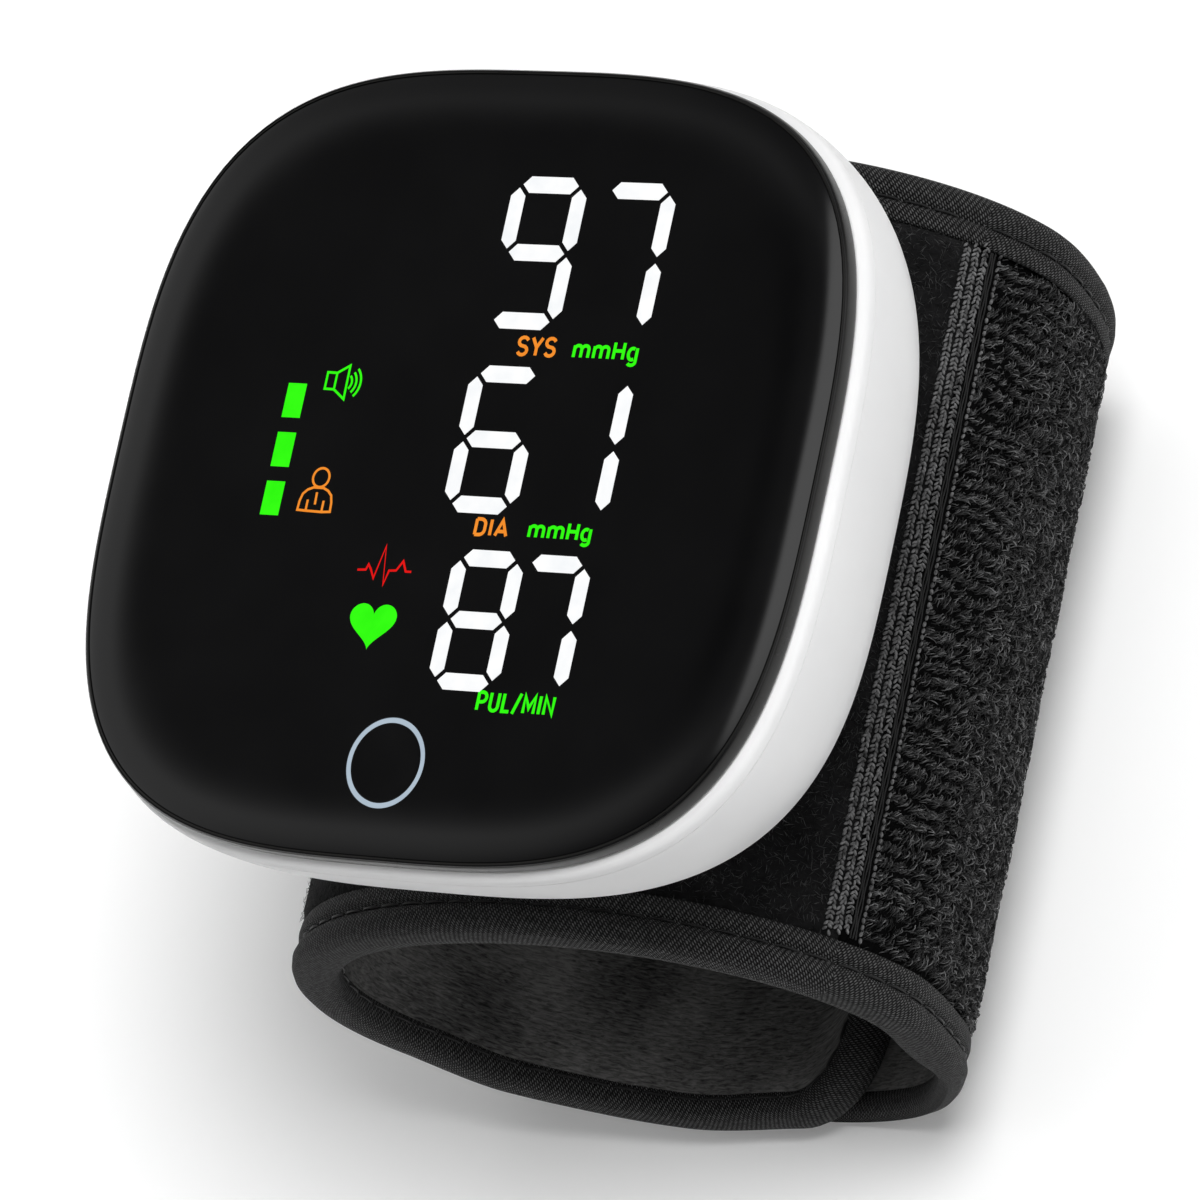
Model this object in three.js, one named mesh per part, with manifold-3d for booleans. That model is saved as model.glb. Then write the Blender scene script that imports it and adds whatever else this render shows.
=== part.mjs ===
// Wrist blood pressure monitor: a wedge shaped housing on a soft cuff that closes with a hook and loop flap.
// Millimetres, +Z up. The cuff lies on its back, its axis runs along Y, and the origin is on the floor below it.
import * as THREE from "three";
import { mergeVertices } from "three/addons/utils/BufferGeometryUtils.js";
import Module from "manifold-3d";

const wasm = await Module();
wasm.setup();

// Clearances
const FIT = 0.3; // between pieces that are fixed together
const SLIP = 0.25; // round pieces that push into a hole
const RUN = 0.08; // round a shaft or plunger that runs in a bore

// Front cover: smoked window with a rolled edge
const FACE_W = 73.8;
const FACE_H = 71.5;
const FACE_POWER = 3.21; // 2 draws an ellipse, more draws a squarer outline
const COVER_SKIRT = 1.5;
const COVER_RISE = 1.3;
const COVER_ROLL = 7;
const COVER_WALL = 1.8;

// Front frame: white lip that carries the cover
const LIP_RISE = 1.2;
const LIP_OUT = 0.7;
const SHELL_WALL = 1.8;
const REGISTER_DEEP = 3.3;
const REGISTER_WALL = 1.4;

// Rear shell: a bowl whose side is one arc, cut flat at the back
const BOWL_R = 28.8;
const BOWL_SWEEP = 86;
const BACK_BELOW_CUFF_TOP = 3;

// Start button
const BUTTON_X = -0.15;
const BUTTON_UP = 8.55; // from the face's lower edge
const BUTTON_R = 3.3;
const BUTTON_TRAVEL = 0.4;
const BUTTON_FLANGE = 0.6;
const RING_WALL = 0.45;
const RING_FLANGE = 0.5;
const FLANGE_OUT = 1.1;

// Board, display and screws
const BOARD_T = 1.2;
const BOARD_INSET = 3.6;
const BOARD_DEPTH = 6.2;
const DISPLAY_SIDE = 16; // from the face's edge, left and right
const DISPLAY_ENDS = 10.8; // from the face's edge, top and bottom
const DISPLAY_Y = 3.75;
const DISPLAY_BACK = 0.4; // below the cover's inner face
const CORNER_R = 5;
const BOSS_X_INSET = 12.5;
const BOSS_Y_INSET = 12.05;
const BOSS_R = 2.75;
const SCREW_R = 1.1;
const SCREW_HEAD_R = 2.1;
const SCREW_HEAD_H = 1.6;
const SCREW_LENGTH = 10.2;
const SWITCH_SIZE = 6;
const SWITCH_H = 3.5;
const PLUNGER_R = 1.7;
const PLUNGER_H = 0.8;
const CHIP_SIZE = 9;
const CHIP_H = 1.2;
const CHIP_X = -6;
const CHIP_Y = 10;
const SOUNDER_R = 6.5;
const SOUNDER_H = 3.2;
const SOUNDER_X = -15;
const SOUNDER_Y = -8;
const SOUNDER_HOLE_R = 0.8;
const SENSOR_SIZE = 7;
const SENSOR_H = 2.4;

// Charging socket, in the wall to the left of the display
const SOCKET_W = 9;
const SOCKET_H = 3.2;
const SOCKET_L = 7.3;
const SOCKET_Y = 6;
const SOCKET_WALL = 0.5;

// Cuff: an oval tube of layers with bound edges
const CUFF_HALF_W = 32.2;
const CUFF_HALF_H = 26; // from the axis up to the top of the oval
const CUFF_SAG_H = 31.6; // and down to the bottom, where the cuff hangs deeper
const CUFF_LENGTH = 76.1;
const REST_FLAT = 0.6; // how far the back flattens where it rests
const HINGE_TURN = -15; // degrees round the wrist from the right hand side
const INNER_END_TURN = 296;
const FLAP_SWEEP = 106;
const FLAP_TAPER = 3;
const TUCK_FROM = 180;
const TUCK_TO = 236;
const END_CORNER_R = 10;
const PANEL_T = 1.5;
const FLAP_PANEL_T = 1.3;
const STIFFENER_T = 0.5;
const BLADDER_T = 0.8;
const LINING_T = 0.8;
const PLY_GAP = 0.2;
const BINDING_T = 0.5;
const BINDING_W = 5;
const BINDING_DROP = 0.25;
const BINDING_ROLL = 1.5;
const EDGE_PLY = 0.5;
const CROWN_RUN = 0.9;
const SELVEDGE_TURN = 26.5;
const SELVEDGE_W = 4.2;
const SELVEDGE_T = 0.35;
const STIFFENER_INSET = 6.5;
const STIFFENER_FROM = 10;
const STIFFENER_TO = 250;
const BLADDER_INSET = 7.5;
const BLADDER_FROM = 20;
const BLADDER_TO = 272;
const HOOK_T = 0.5;
const HOOK_W = 40;
const HOOK_L = 26;
const HOOK_END_INSET = 7;

// Housing on the cuff
const HOUSING_X = 7.8;
const HOUSING_Y = -4.7;
const HOUSING_PITCH = 4.9;
const HOUSING_YAW = -3.4;
const FACE_RISE = 25.3; // face seam above the cuff's top

// Cuff fixings and air
const POST_R = 2.2;
const POST_FRONT = 5; // front post from the bowl's side, where the bowl has curved in
const POST_BACK = 6.5;
const POST_HEAD_R = 2.9;
const ANCHOR_R = 0.9;
const ANCHOR_L = 3;
const ANCHOR_HEAD_H = 1.4;
const BRANCH_L = 4.5;
const PORT_R = 1.8;
const NOZZLE_R = 1.1;
const NOZZLE_BORE = 0.5;
const NOZZLE_L = 2.3;
const HOSE_WALL = 0.9;
const PUMP_R = 6;
const HEAD_L = 10;
const HEAD_SIDE = 13;
const HEAD_CORNER = 2;
const AIR_SIDE = 10.66; // pump line from the bowl's side, where the bowl has curved in
const AIR_FRONT = 3.6; // motor's front end from the screw bosses
const AIR_BACK = 22.07; // valve's back end, before the bowl curves in
const SHAFT_R = 0.75;
const CRANK_R = 2.4;
const CRANK_OFF = 0.6;
const VALVE_L = 8;
const VALVE_SIDE = 9;
const VALVE_STROKE = 1;
const CELL_T = 5.2;
const CELL_ROOM = 3.5; // from the middle of each post
const CELL_SIDE = 6.4; // from the bowl's side
const CELL_GAP = 1.5; // from the air tee

const OUTLINE_POINTS = 48;
const STRAP_STEP = 5;
const BOWL_RINGS = 8;
const rad = THREE.MathUtils.degToRad;

// Heights and places that follow from the sizes above
const CUFF_AXIS_Z = CUFF_SAG_H - REST_FLAT;
const CUFF_TOP = CUFF_AXIS_Z + CUFF_HALF_H;
const BACK_Z = CUFF_TOP - BACK_BELOW_CUFF_TOP;
const COVER_TOP = COVER_SKIRT + COVER_RISE;
const COVER_INSIDE = COVER_TOP - COVER_WALL;
const RING_BORE = BUTTON_R + SLIP;
const RING_R = RING_BORE + RING_WALL;
const BOARD_TOP = -BOARD_DEPTH;
const BOARD_UNDER = -BOARD_DEPTH - BOARD_T;
const BOSS_X = FACE_W / 2 - BOSS_X_INSET;
const BOSS_Y = FACE_H / 2 - BOSS_Y_INSET;
const SEAM = -LIP_RISE - FIT;
const BUTTON_Y = BUTTON_UP - FACE_H / 2;
const DISPLAY_W = FACE_W - 2 * DISPLAY_SIDE;
const DISPLAY_H = FACE_H - 2 * DISPLAY_ENDS;

const looks = {
  window: new THREE.MeshStandardMaterial({ color: 0x101011, roughness: 0.12 }),
  button: new THREE.MeshStandardMaterial({ color: 0x121214, roughness: 0.25 }),
  glow: new THREE.MeshStandardMaterial({ color: 0xaab8cc, roughness: 0.35 }),
  white: new THREE.MeshStandardMaterial({ color: 0xe9e9ea, roughness: 0.4 }),
  board: new THREE.MeshStandardMaterial({ color: 0x1f5a38, roughness: 0.6 }),
  black: new THREE.MeshStandardMaterial({ color: 0x1b1b1c, roughness: 0.55 }),
  steel: new THREE.MeshStandardMaterial({ color: 0xb9bcc0, roughness: 0.3, metalness: 1 }),
  brass: new THREE.MeshStandardMaterial({ color: 0xb6903f, roughness: 0.35, metalness: 1 }),
  rubber: new THREE.MeshStandardMaterial({ color: 0xd8d6d0, roughness: 0.7 }),
  cell: new THREE.MeshStandardMaterial({ color: 0x9aa3ad, roughness: 0.4, metalness: 0.4 }),
  velvet: new THREE.MeshStandardMaterial({ color: 0x1d1e20, roughness: 0.95 }),
  pile: new THREE.MeshStandardMaterial({ color: 0x232426, roughness: 1 }),
  woven: new THREE.MeshStandardMaterial({ color: 0x19191b, roughness: 0.8 }),
  lining: new THREE.MeshStandardMaterial({ color: 0x202123, roughness: 0.95 }),
  film: new THREE.MeshStandardMaterial({ color: 0x3a3c40, roughness: 0.5 }),
};

// A geometry with its faces pointing out and its doubled points merged.
function outward(geometry) {
  const bare = new THREE.BufferGeometry();
  bare.setAttribute("position", geometry.getAttribute("position").clone());
  if (geometry.index) bare.setIndex(geometry.index.clone());
  const merged = mergeVertices(bare, 1e-4);
  const p = merged.getAttribute("position");
  const index = merged.index.array;
  const a = new THREE.Vector3();
  const b = new THREE.Vector3();
  const c = new THREE.Vector3();
  let volume = 0;
  for (let i = 0; i < index.length; i += 3) {
    a.fromBufferAttribute(p, index[i]);
    b.fromBufferAttribute(p, index[i + 1]);
    c.fromBufferAttribute(p, index[i + 2]);
    volume += a.dot(b.cross(c));
  }
  if (volume < 0)
    for (let i = 0; i < index.length; i += 3) [index[i + 1], index[i + 2]] = [index[i + 2], index[i + 1]];
  return merged;
}

function solid(geometry) {
  const closed = outward(geometry);
  return new wasm.Manifold(
    new wasm.Mesh({
      numProp: 3,
      vertProperties: closed.getAttribute("position").array,
      triVerts: new Uint32Array(closed.index.array),
    }),
  );
}

function surface(body) {
  const mesh = body.getMesh();
  const geometry = new THREE.BufferGeometry();
  geometry.setAttribute("position", new THREE.BufferAttribute(mesh.vertProperties, 3));
  geometry.setIndex(new THREE.BufferAttribute(mesh.triVerts, 1));
  return geometry;
}

// A body through rings of points that all have the same count; `contour` is a ring drawn flat, for the end caps.
function loft(rings, contour) {
  const count = rings[0].length;
  const position = rings.flat().flatMap((p) => [p.x, p.y, p.z]);
  const index = [];
  for (let r = 0; r + 1 < rings.length; r++)
    for (let i = 0; i < count; i++) {
      const a = r * count + i;
      const b = r * count + ((i + 1) % count);
      index.push(a, b, b + count, a, b + count, a + count);
    }
  const last = (rings.length - 1) * count;
  const way = Math.sign(THREE.ShapeUtils.area(contour));
  for (const [i, j, k] of THREE.ShapeUtils.triangulateShape(contour, [])) {
    const same = Math.sign(THREE.ShapeUtils.area([contour[i], contour[j], contour[k]])) === way;
    const [m, n] = same ? [j, k] : [k, j];
    index.push(i, n, m, last + i, last + m, last + n);
  }
  const geometry = new THREE.BufferGeometry();
  geometry.setAttribute("position", new THREE.Float32BufferAttribute(position, 3));
  geometry.setIndex(index);
  return geometry;
}

// A revolved body about Z from [radius, height] pairs that start and end on the axis.
function turned(profile, segments = 24) {
  const points = profile.map(([r, z]) => new THREE.Vector2(r, z));
  return new THREE.LatheGeometry(points, segments).rotateX(Math.PI / 2);
}

function rod(radius, from, to, segments = 20) {
  return turned([[0, from], [radius, from], [radius, to], [0, to]], segments);
}

// A block with rounded corners, standing on z = 0.
function block(width, depth, height, corner) {
  const shape = new THREE.Shape();
  const x = width / 2 - corner;
  const y = depth / 2 - corner;
  shape.absarc(x, y, corner, 0, Math.PI / 2);
  shape.absarc(-x, y, corner, Math.PI / 2, Math.PI);
  shape.absarc(-x, -y, corner, Math.PI, 1.5 * Math.PI);
  shape.absarc(x, -y, corner, 1.5 * Math.PI, 2 * Math.PI);
  return new THREE.ExtrudeGeometry(shape, { depth: height, bevelEnabled: false, curveSegments: 5 });
}

// The outline of the face, drawn `inset` inside its edge at height z.
function outline(inset, z) {
  const grow = 2 / FACE_POWER;
  return Array.from({ length: OUTLINE_POINTS }, (_, i) => {
    const t = (2 * Math.PI * i) / OUTLINE_POINTS;
    const x = Math.sign(Math.cos(t)) * Math.abs(Math.cos(t)) ** grow;
    const y = Math.sign(Math.sin(t)) * Math.abs(Math.sin(t)) ** grow;
    return new THREE.Vector3((FACE_W / 2 - inset) * x, (FACE_H / 2 - inset) * y, z);
  });
}

function stack(sections) {
  const rings = sections.map(([inset, z]) => outline(inset, z));
  return loft(rings, rings[0].map((p) => new THREE.Vector2(p.x, p.y)));
}

const object = new THREE.Group();
object.name = "wrist_blood_pressure_monitor";
const housing = new THREE.Group();
housing.name = "housing";
housing.position.set(HOUSING_X, HOUSING_Y, CUFF_TOP + FACE_RISE);
housing.rotation.set(rad(HOUSING_PITCH), 0, rad(HOUSING_YAW));
housing.updateMatrix();
const toFace = housing.matrix.clone().invert();
const cuff = new THREE.Group();
cuff.name = "cuff";
object.add(housing, cuff);

function piece(parent, name, shape, look) {
  const geometry = shape.isBufferGeometry ? outward(shape) : surface(shape);
  geometry.computeVertexNormals();
  const mesh = new THREE.Mesh(geometry, look);
  mesh.name = name;
  parent.add(mesh);
  return mesh;
}

// FRONT COVER
const roll = [0, 12, 25, 40, 55, 72, 90].map((angle) => [
  COVER_ROLL * (1 - Math.cos(rad(angle))),
  COVER_SKIRT + COVER_RISE * Math.sin(rad(angle)),
]);
const buttonHole = rod(RING_R + SLIP, -1, COVER_TOP + 1, 32).translate(BUTTON_X, BUTTON_Y, 0);
const cover = solid(stack([[0, FIT], ...roll]))
  .subtract(solid(stack([[COVER_WALL, FIT - 1], [COVER_WALL, COVER_INSIDE]])))
  .subtract(solid(buttonHole));
piece(housing, "front_cover", cover, looks.window);

// BUTTON: a light ring fixed in the cover and a cap that slides in it
const ringTop = COVER_TOP - 0.02;
const ringFlangeTop = COVER_INSIDE - FIT / 2;
const ringFlangeUnder = ringFlangeTop - RING_FLANGE;
const ringOuter = turned(
  [
    [0, ringFlangeUnder],
    [RING_R + FLANGE_OUT, ringFlangeUnder],
    [RING_R + FLANGE_OUT, ringFlangeTop],
    [RING_R, ringFlangeTop],
    [RING_R, ringTop],
    [0, ringTop],
  ],
  32,
);
const ring = solid(ringOuter).subtract(solid(rod(RING_BORE, -1, COVER_TOP + 1, 32)));
piece(housing, "button_light_ring", ring, looks.glow).position.set(BUTTON_X, BUTTON_Y, 0);

const flangeTop = ringFlangeUnder - FIT;
const flangeUnder = flangeTop - BUTTON_FLANGE;
const switchTop = BOARD_TOP + FIT / 2 + SWITCH_H;
const stemEnd = switchTop + PLUNGER_H + BUTTON_TRAVEL + 0.1;
const cap = turned(
  [
    [0, stemEnd],
    [PLUNGER_R - 0.2, stemEnd],
    [PLUNGER_R - 0.2, flangeUnder],
    [RING_BORE + FLANGE_OUT - 0.2, flangeUnder],
    [RING_BORE + FLANGE_OUT - 0.2, flangeTop],
    [BUTTON_R, flangeTop],
    [BUTTON_R, ringTop - 0.25],
    [BUTTON_R - 0.08, ringTop - 0.08],
    [BUTTON_R - 0.25, ringTop],
    [BUTTON_R * 0.5, ringTop - 0.12],
    [0, ringTop - 0.16],
  ],
  32,
);
piece(housing, "start_button", cap, looks.button).position.set(BUTTON_X, BUTTON_Y, 0);

// FRONT FRAME: lip, deck with a window for the display, register wall and screw bosses
const corners = [
  [BOSS_X, BOSS_Y],
  [-BOSS_X, BOSS_Y],
  [-BOSS_X, -BOSS_Y],
  [BOSS_X, -BOSS_Y],
];
const registerOut = SHELL_WALL - LIP_OUT + FIT;
let frame = solid(stack([[0, 0], [-LIP_OUT, -LIP_RISE]]));
const registerRing = solid(stack([[registerOut, -0.5], [registerOut, -LIP_RISE - REGISTER_DEEP]])).subtract(
  solid(stack([[registerOut + REGISTER_WALL, 1], [registerOut + REGISTER_WALL, -LIP_RISE - REGISTER_DEEP - 1]])),
);
frame = frame.add(registerRing);
for (const [x, y] of corners)
  frame = frame.add(solid(rod(BOSS_R, BOARD_TOP + FIT, -LIP_RISE / 2).translate(x, y, 0)));
for (const [x, y] of corners)
  frame = frame.subtract(solid(rod(SCREW_R + SLIP / 2, BOARD_TOP - 1, -LIP_RISE * 0.8, 12).translate(x, y, 0)));
const displayWindow = block(DISPLAY_W + 2 * FIT, DISPLAY_H + 2 * FIT, 10, CORNER_R + FIT);
frame = frame
  .subtract(solid(displayWindow.translate(0, DISPLAY_Y, -5)))
  .subtract(solid(rod(RING_BORE + FLANGE_OUT + FIT, -5, 5, 28).translate(BUTTON_X, BUTTON_Y, 0)));
piece(housing, "front_frame", frame, looks.white);

// REAR SHELL, worked in the cuff's frame because its back lies along the cuff
const bowl = (wall) => {
  const sections = [[wall - LIP_OUT, wall > 0 ? 1 : SEAM]];
  for (let i = 0; i <= BOWL_RINGS; i++) {
    const angle = rad((BOWL_SWEEP * i) / BOWL_RINGS);
    sections.push([wall - LIP_OUT + (BOWL_R - wall) * (1 - Math.cos(angle)), SEAM - (BOWL_R - wall) * Math.sin(angle)]);
  }
  return wall > 0 ? sections : sections.slice(1);
};
const inWorld = (geometry) => solid(geometry.applyMatrix4(housing.matrix));
const above = (z) => solid(new THREE.BoxGeometry(400, 400, 200).translate(0, 0, z + 100));
const oval = (grow) => {
  const shape = new THREE.Shape();
  shape.absellipse(0, 0, CUFF_HALF_W + grow, CUFF_HALF_H + grow, 0, 2 * Math.PI);
  const tube = new THREE.ExtrudeGeometry(shape, { depth: 300, bevelEnabled: false, curveSegments: 32 });
  return solid(tube.translate(0, 0, -150).rotateX(Math.PI / 2).translate(0, 0, CUFF_AXIS_Z));
};
const shellOuter = inWorld(stack(bowl(0)));
const shellBack = BACK_Z;
const shellFloor = shellBack + SHELL_WALL;
const inR = BOWL_R - SHELL_WALL;
const wallIn = (depth) => inR * (1 - Math.sqrt(Math.max(0, 1 - (depth / inR) ** 2)));
const wallInAt = (z) => wallIn(CUFF_TOP + FACE_RISE + SEAM - z);
const humpOut = FIT + SHELL_WALL;
const humpAt = (x) => CUFF_AXIS_Z + (CUFF_HALF_H + humpOut) * Math.sqrt(1 - (x / (CUFF_HALF_W + humpOut)) ** 2);
const crown = CUFF_TOP + FIT + SHELL_WALL;
const postY = [HOUSING_Y - FACE_H / 2 + POST_FRONT + wallInAt(crown), POST_BACK];
const pumpX = HOUSING_X + FACE_W / 2 - AIR_SIDE - wallInAt(shellFloor + FIT + HEAD_CORNER / 2);
const pumpZ = Math.max(shellFloor, humpAt(pumpX - HEAD_SIDE / 2)) + FIT + HEAD_SIDE / 2;
const portX = pumpX - HEAD_SIDE / 2 - BRANCH_L;
const valveGap = 1;
const valveY = AIR_BACK - wallInAt(pumpZ - VALVE_SIDE / 2) - VALVE_L;
const headY = valveY - valveGap - 2 * NOZZLE_L - HEAD_L;
const portY = headY + HEAD_L / 2;
const motorEnd = headY - FIT;
const pumpL = motorEnd - (HOUSING_Y - BOSS_Y + AIR_FRONT);
const cavity = inWorld(stack(bowl(SHELL_WALL)))
  .intersect(above(shellFloor))
  .subtract(oval(FIT + SHELL_WALL));
const bossTop = BOARD_UNDER - FIT;
const screwSeat = bossTop - SCREW_LENGTH + (BOARD_DEPTH - LIP_RISE) + 1;
let shell = shellOuter.intersect(above(shellBack)).subtract(cavity);
for (const [x, y] of corners) {
  const boss = inWorld(rod(SCREW_HEAD_R + SLIP + 1.2, -BOWL_R - 20, bossTop).translate(x, y, 0));
  shell = shell.add(boss.intersect(shellOuter).intersect(above(shellBack)));
}
for (const [x, y] of corners) {
  shell = shell
    .subtract(inWorld(rod(SCREW_R + SLIP, -BOWL_R - 20, bossTop + 1, 12).translate(x, y, 0)))
    .subtract(inWorld(rod(SCREW_HEAD_R + SLIP, -BOWL_R - 20, screwSeat).translate(x, y, 0)));
}
const socketZ = BOARD_UNDER - FIT / 2 - SOCKET_H / 2;
const socketSlot = block(SOCKET_W + 2 * FIT, SOCKET_H + 2 * FIT, 20, SOCKET_H / 2 + FIT - 0.05)
  .rotateZ(Math.PI / 2)
  .rotateY(-Math.PI / 2)
  .translate(-FACE_W / 2 + 10, SOCKET_Y, socketZ);
const postHoles = postY.map((y) => rod(POST_R + SLIP, CUFF_AXIS_Z, CUFF_TOP + 6).translate(0, y, 0));
const portHole = rod(PORT_R + SLIP, CUFF_AXIS_Z, CUFF_TOP + 6).translate(portX, portY, 0);
shell = shell.subtract(oval(FIT)).subtract(inWorld(socketSlot)).subtract(solid(portHole));
for (const hole of postHoles) shell = shell.subtract(solid(hole));
piece(object, "rear_shell", shell, looks.white);

// SCREWS that clamp shell, board and frame
function screw(headR, headH, shankR, length) {
  const body = solid(
    turned([[0, -headH], [headR - 0.3, -headH], [headR, -headH + 0.3], [headR, 0], [shankR, 0], [shankR, length], [0, length]], 16),
  );
  const slot = new THREE.BoxGeometry(headR * 1.2, 0.5, headH);
  return body
    .subtract(solid(slot.clone().translate(0, 0, -headH)))
    .subtract(solid(slot.clone().rotateZ(Math.PI / 2).translate(0, 0, -headH)));
}
corners.forEach(([x, y], i) => {
  const caseScrew = screw(SCREW_HEAD_R, SCREW_HEAD_H, SCREW_R, SCREW_LENGTH - FIT);
  piece(housing, `case_screw_${i + 1}`, caseScrew, looks.steel).position.set(x, y, screwSeat - FIT / 2);
});

// BOARD and what it carries
let board = solid(stack([[BOARD_INSET, BOARD_UNDER], [BOARD_INSET, BOARD_TOP]]));
for (const [x, y] of corners) board = board.subtract(solid(rod(SCREW_R + SLIP, -20, 0, 12).translate(x, y, 0)));
piece(housing, "main_board", board, looks.board);

const displayHeight = COVER_INSIDE - DISPLAY_BACK - BOARD_TOP - FIT / 2;
piece(housing, "display_module", block(DISPLAY_W, DISPLAY_H, displayHeight, CORNER_R), looks.black).position.set(
  0,
  DISPLAY_Y,
  BOARD_TOP + FIT / 2,
);

const switchBody = solid(block(SWITCH_SIZE, SWITCH_SIZE, SWITCH_H, 0.6)).add(
  solid(rod(PLUNGER_R, SWITCH_H - 1, SWITCH_H + PLUNGER_H)),
);
piece(housing, "tact_switch", switchBody, looks.black).position.set(BUTTON_X, BUTTON_Y, BOARD_TOP + FIT / 2);

const under = BOARD_UNDER - FIT / 2;
const chip = block(CHIP_SIZE, CHIP_SIZE, CHIP_H, CHIP_SIZE / 18);
piece(housing, "controller_chip", chip, looks.black).position.set(CHIP_X, CHIP_Y, under - CHIP_H);
const soundHole = rod(SOUNDER_HOLE_R, -SOUNDER_H - 1, -SOUNDER_H / 2, 12);
const sounder = solid(rod(SOUNDER_R, -SOUNDER_H, 0, 28)).subtract(solid(soundHole));
piece(housing, "sounder", sounder, looks.black).position.set(SOUNDER_X, SOUNDER_Y, under);
const socketBody = solid(block(SOCKET_W, SOCKET_H, SOCKET_L, SOCKET_H / 2 - 0.05))
  .subtract(
    solid(
      block(SOCKET_W - 2 * SOCKET_WALL, SOCKET_H - 2 * SOCKET_WALL, SOCKET_L, SOCKET_H / 2 - SOCKET_WALL - 0.05).translate(
        0,
        0,
        0.8,
      ),
    ),
  )
  .add(solid(block(SOCKET_W - 3, 0.7, SOCKET_L - 1.5, 0.3)));
const wallAtSocket = SHELL_WALL - LIP_OUT + wallIn(SEAM - socketZ);
const socketShape = surface(socketBody).rotateZ(Math.PI / 2).rotateY(-Math.PI / 2);
piece(housing, "charging_socket", socketShape, looks.steel).position.set(
  -FACE_W / 2 + wallAtSocket + 2 * FIT + SOCKET_L,
  SOCKET_Y,
  socketZ,
);

// AIR: pump, valve, sensor and a moulded silicone tee, in the cuff's frame on the shell's floor
const along = (geometry) => geometry.rotateX(-Math.PI / 2);
const motorBody = solid(
  along(
    turned([
      [0, 0],
      [2.4, 0],
      [2.4, 0.8],
      [PUMP_R - 0.5, 0.8],
      [PUMP_R, 1.3],
      [PUMP_R, pumpL],
      [0, pumpL],
    ]),
  ),
).subtract(solid(along(rod(SHAFT_R + RUN, 2, pumpL + 1, 24))));
piece(object, "pump_motor", motorBody, looks.steel).position.set(pumpX, motorEnd - pumpL, pumpZ);

const crankDeep = 4.5;
const headBlock = block(HEAD_SIDE, HEAD_SIDE, HEAD_L, HEAD_CORNER);
const headBody = solid(along(headBlock))
  .subtract(solid(along(rod(CRANK_R + CRANK_OFF + SLIP, -1, crankDeep))))
  .add(solid(rod(NOZZLE_R, -NOZZLE_L, 1, 14).rotateY(Math.PI / 2).translate(-HEAD_SIDE / 2, HEAD_L / 2, 0)))
  .add(solid(along(rod(NOZZLE_R, -1, NOZZLE_L, 14)).translate(0, HEAD_L, 0)));
piece(object, "pump_head", headBody, looks.black).position.set(pumpX, headY, pumpZ);

const crank = solid(along(rod(SHAFT_R, -pumpL * 0.6, crankDeep - 2.5, 24))).add(
  solid(along(rod(CRANK_R, FIT, crankDeep - 1, 20)).translate(CRANK_OFF, 0, 0)),
);
piece(object, "pump_shaft", crank, looks.brass).position.set(pumpX, headY, pumpZ);

const valveBore = 1.6;
const valveBody = solid(along(block(VALVE_SIDE, VALVE_SIDE, VALVE_L, 0.8)))
  .add(solid(along(rod(NOZZLE_R, -NOZZLE_L, 1, 14))))
  .subtract(solid(along(rod(valveBore + RUN, VALVE_L / 2 - VALVE_STROKE - FIT, VALVE_L + 1, 24))));
piece(object, "valve_body", valveBody, looks.steel).position.set(pumpX, valveY, pumpZ);
const valveHead = VALVE_L + VALVE_STROKE + FIT;
const plunger = along(
  turned([
    [0, VALVE_L / 2],
    [valveBore, VALVE_L / 2],
    [valveBore, valveHead],
    [valveBore + 0.9, valveHead],
    [valveBore + 0.9, valveHead + 0.8],
    [0, valveHead + 0.8],
  ]),
);
piece(object, "valve_plunger", plunger, looks.brass).position.set(pumpX, valveY, pumpZ);

const hoseR = NOZZLE_R + SLIP / 2 + HOSE_WALL;
const hoseBore = NOZZLE_R + SLIP / 2;
const valveHoseL = 2 * NOZZLE_L + valveGap - 2 * FIT;
const valveHose = solid(along(rod(hoseR, 0, valveHoseL, 16))).subtract(
  solid(along(rod(hoseBore, -1, valveHoseL + 1, 16))),
);
piece(object, "valve_hose", valveHose, looks.rubber).position.set(pumpX, headY + HEAD_L + FIT, pumpZ);

const portLine = (z) => new THREE.Vector3(portX, portY, z).applyMatrix4(toFace);
const nozzleMid = under - SENSOR_H - NOZZLE_L / 2;
const sensorAt = portLine((nozzleMid - portLine(0).z) / (portLine(1).z - portLine(0).z));
const sensorBody = solid(block(SENSOR_SIZE, SENSOR_SIZE, SENSOR_H, SENSOR_SIZE / 12)).add(solid(rod(NOZZLE_R, -NOZZLE_L, 1, 14)));
const sensor = piece(housing, "pressure_sensor", sensorBody, looks.black);
sensor.position.set(sensorAt.x, sensorAt.y, under - SENSOR_H);
const sensorBase = sensor.position.clone().applyMatrix4(housing.matrix);

const teeBore = NOZZLE_R + 2 * SLIP;
const teeR = teeBore + HOSE_WALL;
const teeFrom = Math.max(humpAt(portX - teeR), shellFloor) + FIT;
const teeTo = sensorBase.z - 2 * FIT;
const branchL = BRANCH_L - FIT;
const tee = solid(rod(teeR, teeFrom, teeTo, 18))
  .add(solid(rod(hoseR, 0, branchL, 16).rotateY(Math.PI / 2).translate(0, 0, pumpZ)))
  .subtract(solid(rod(teeBore, teeFrom - 1, teeTo + 1, 18)))
  .subtract(solid(rod(hoseBore, 0, branchL + 1, 16).rotateY(Math.PI / 2).translate(0, 0, pumpZ)));
piece(object, "air_tee", tee, looks.rubber).position.set(portX, portY, 0);

// BATTERY on the raised floor over the cuff's crown
const cellLeft = HOUSING_X - FACE_W / 2 + CELL_SIDE + wallInAt(crown + FIT);
const cellRight = portX - teeR - CELL_GAP;
const cell = block(cellRight - cellLeft, postY[1] - postY[0] - 2 * CELL_ROOM, CELL_T, CELL_T * 0.4);
piece(object, "battery_cell", cell, looks.cell).position.set((cellLeft + cellRight) / 2, (postY[0] + postY[1]) / 2, crown + FIT);

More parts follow.
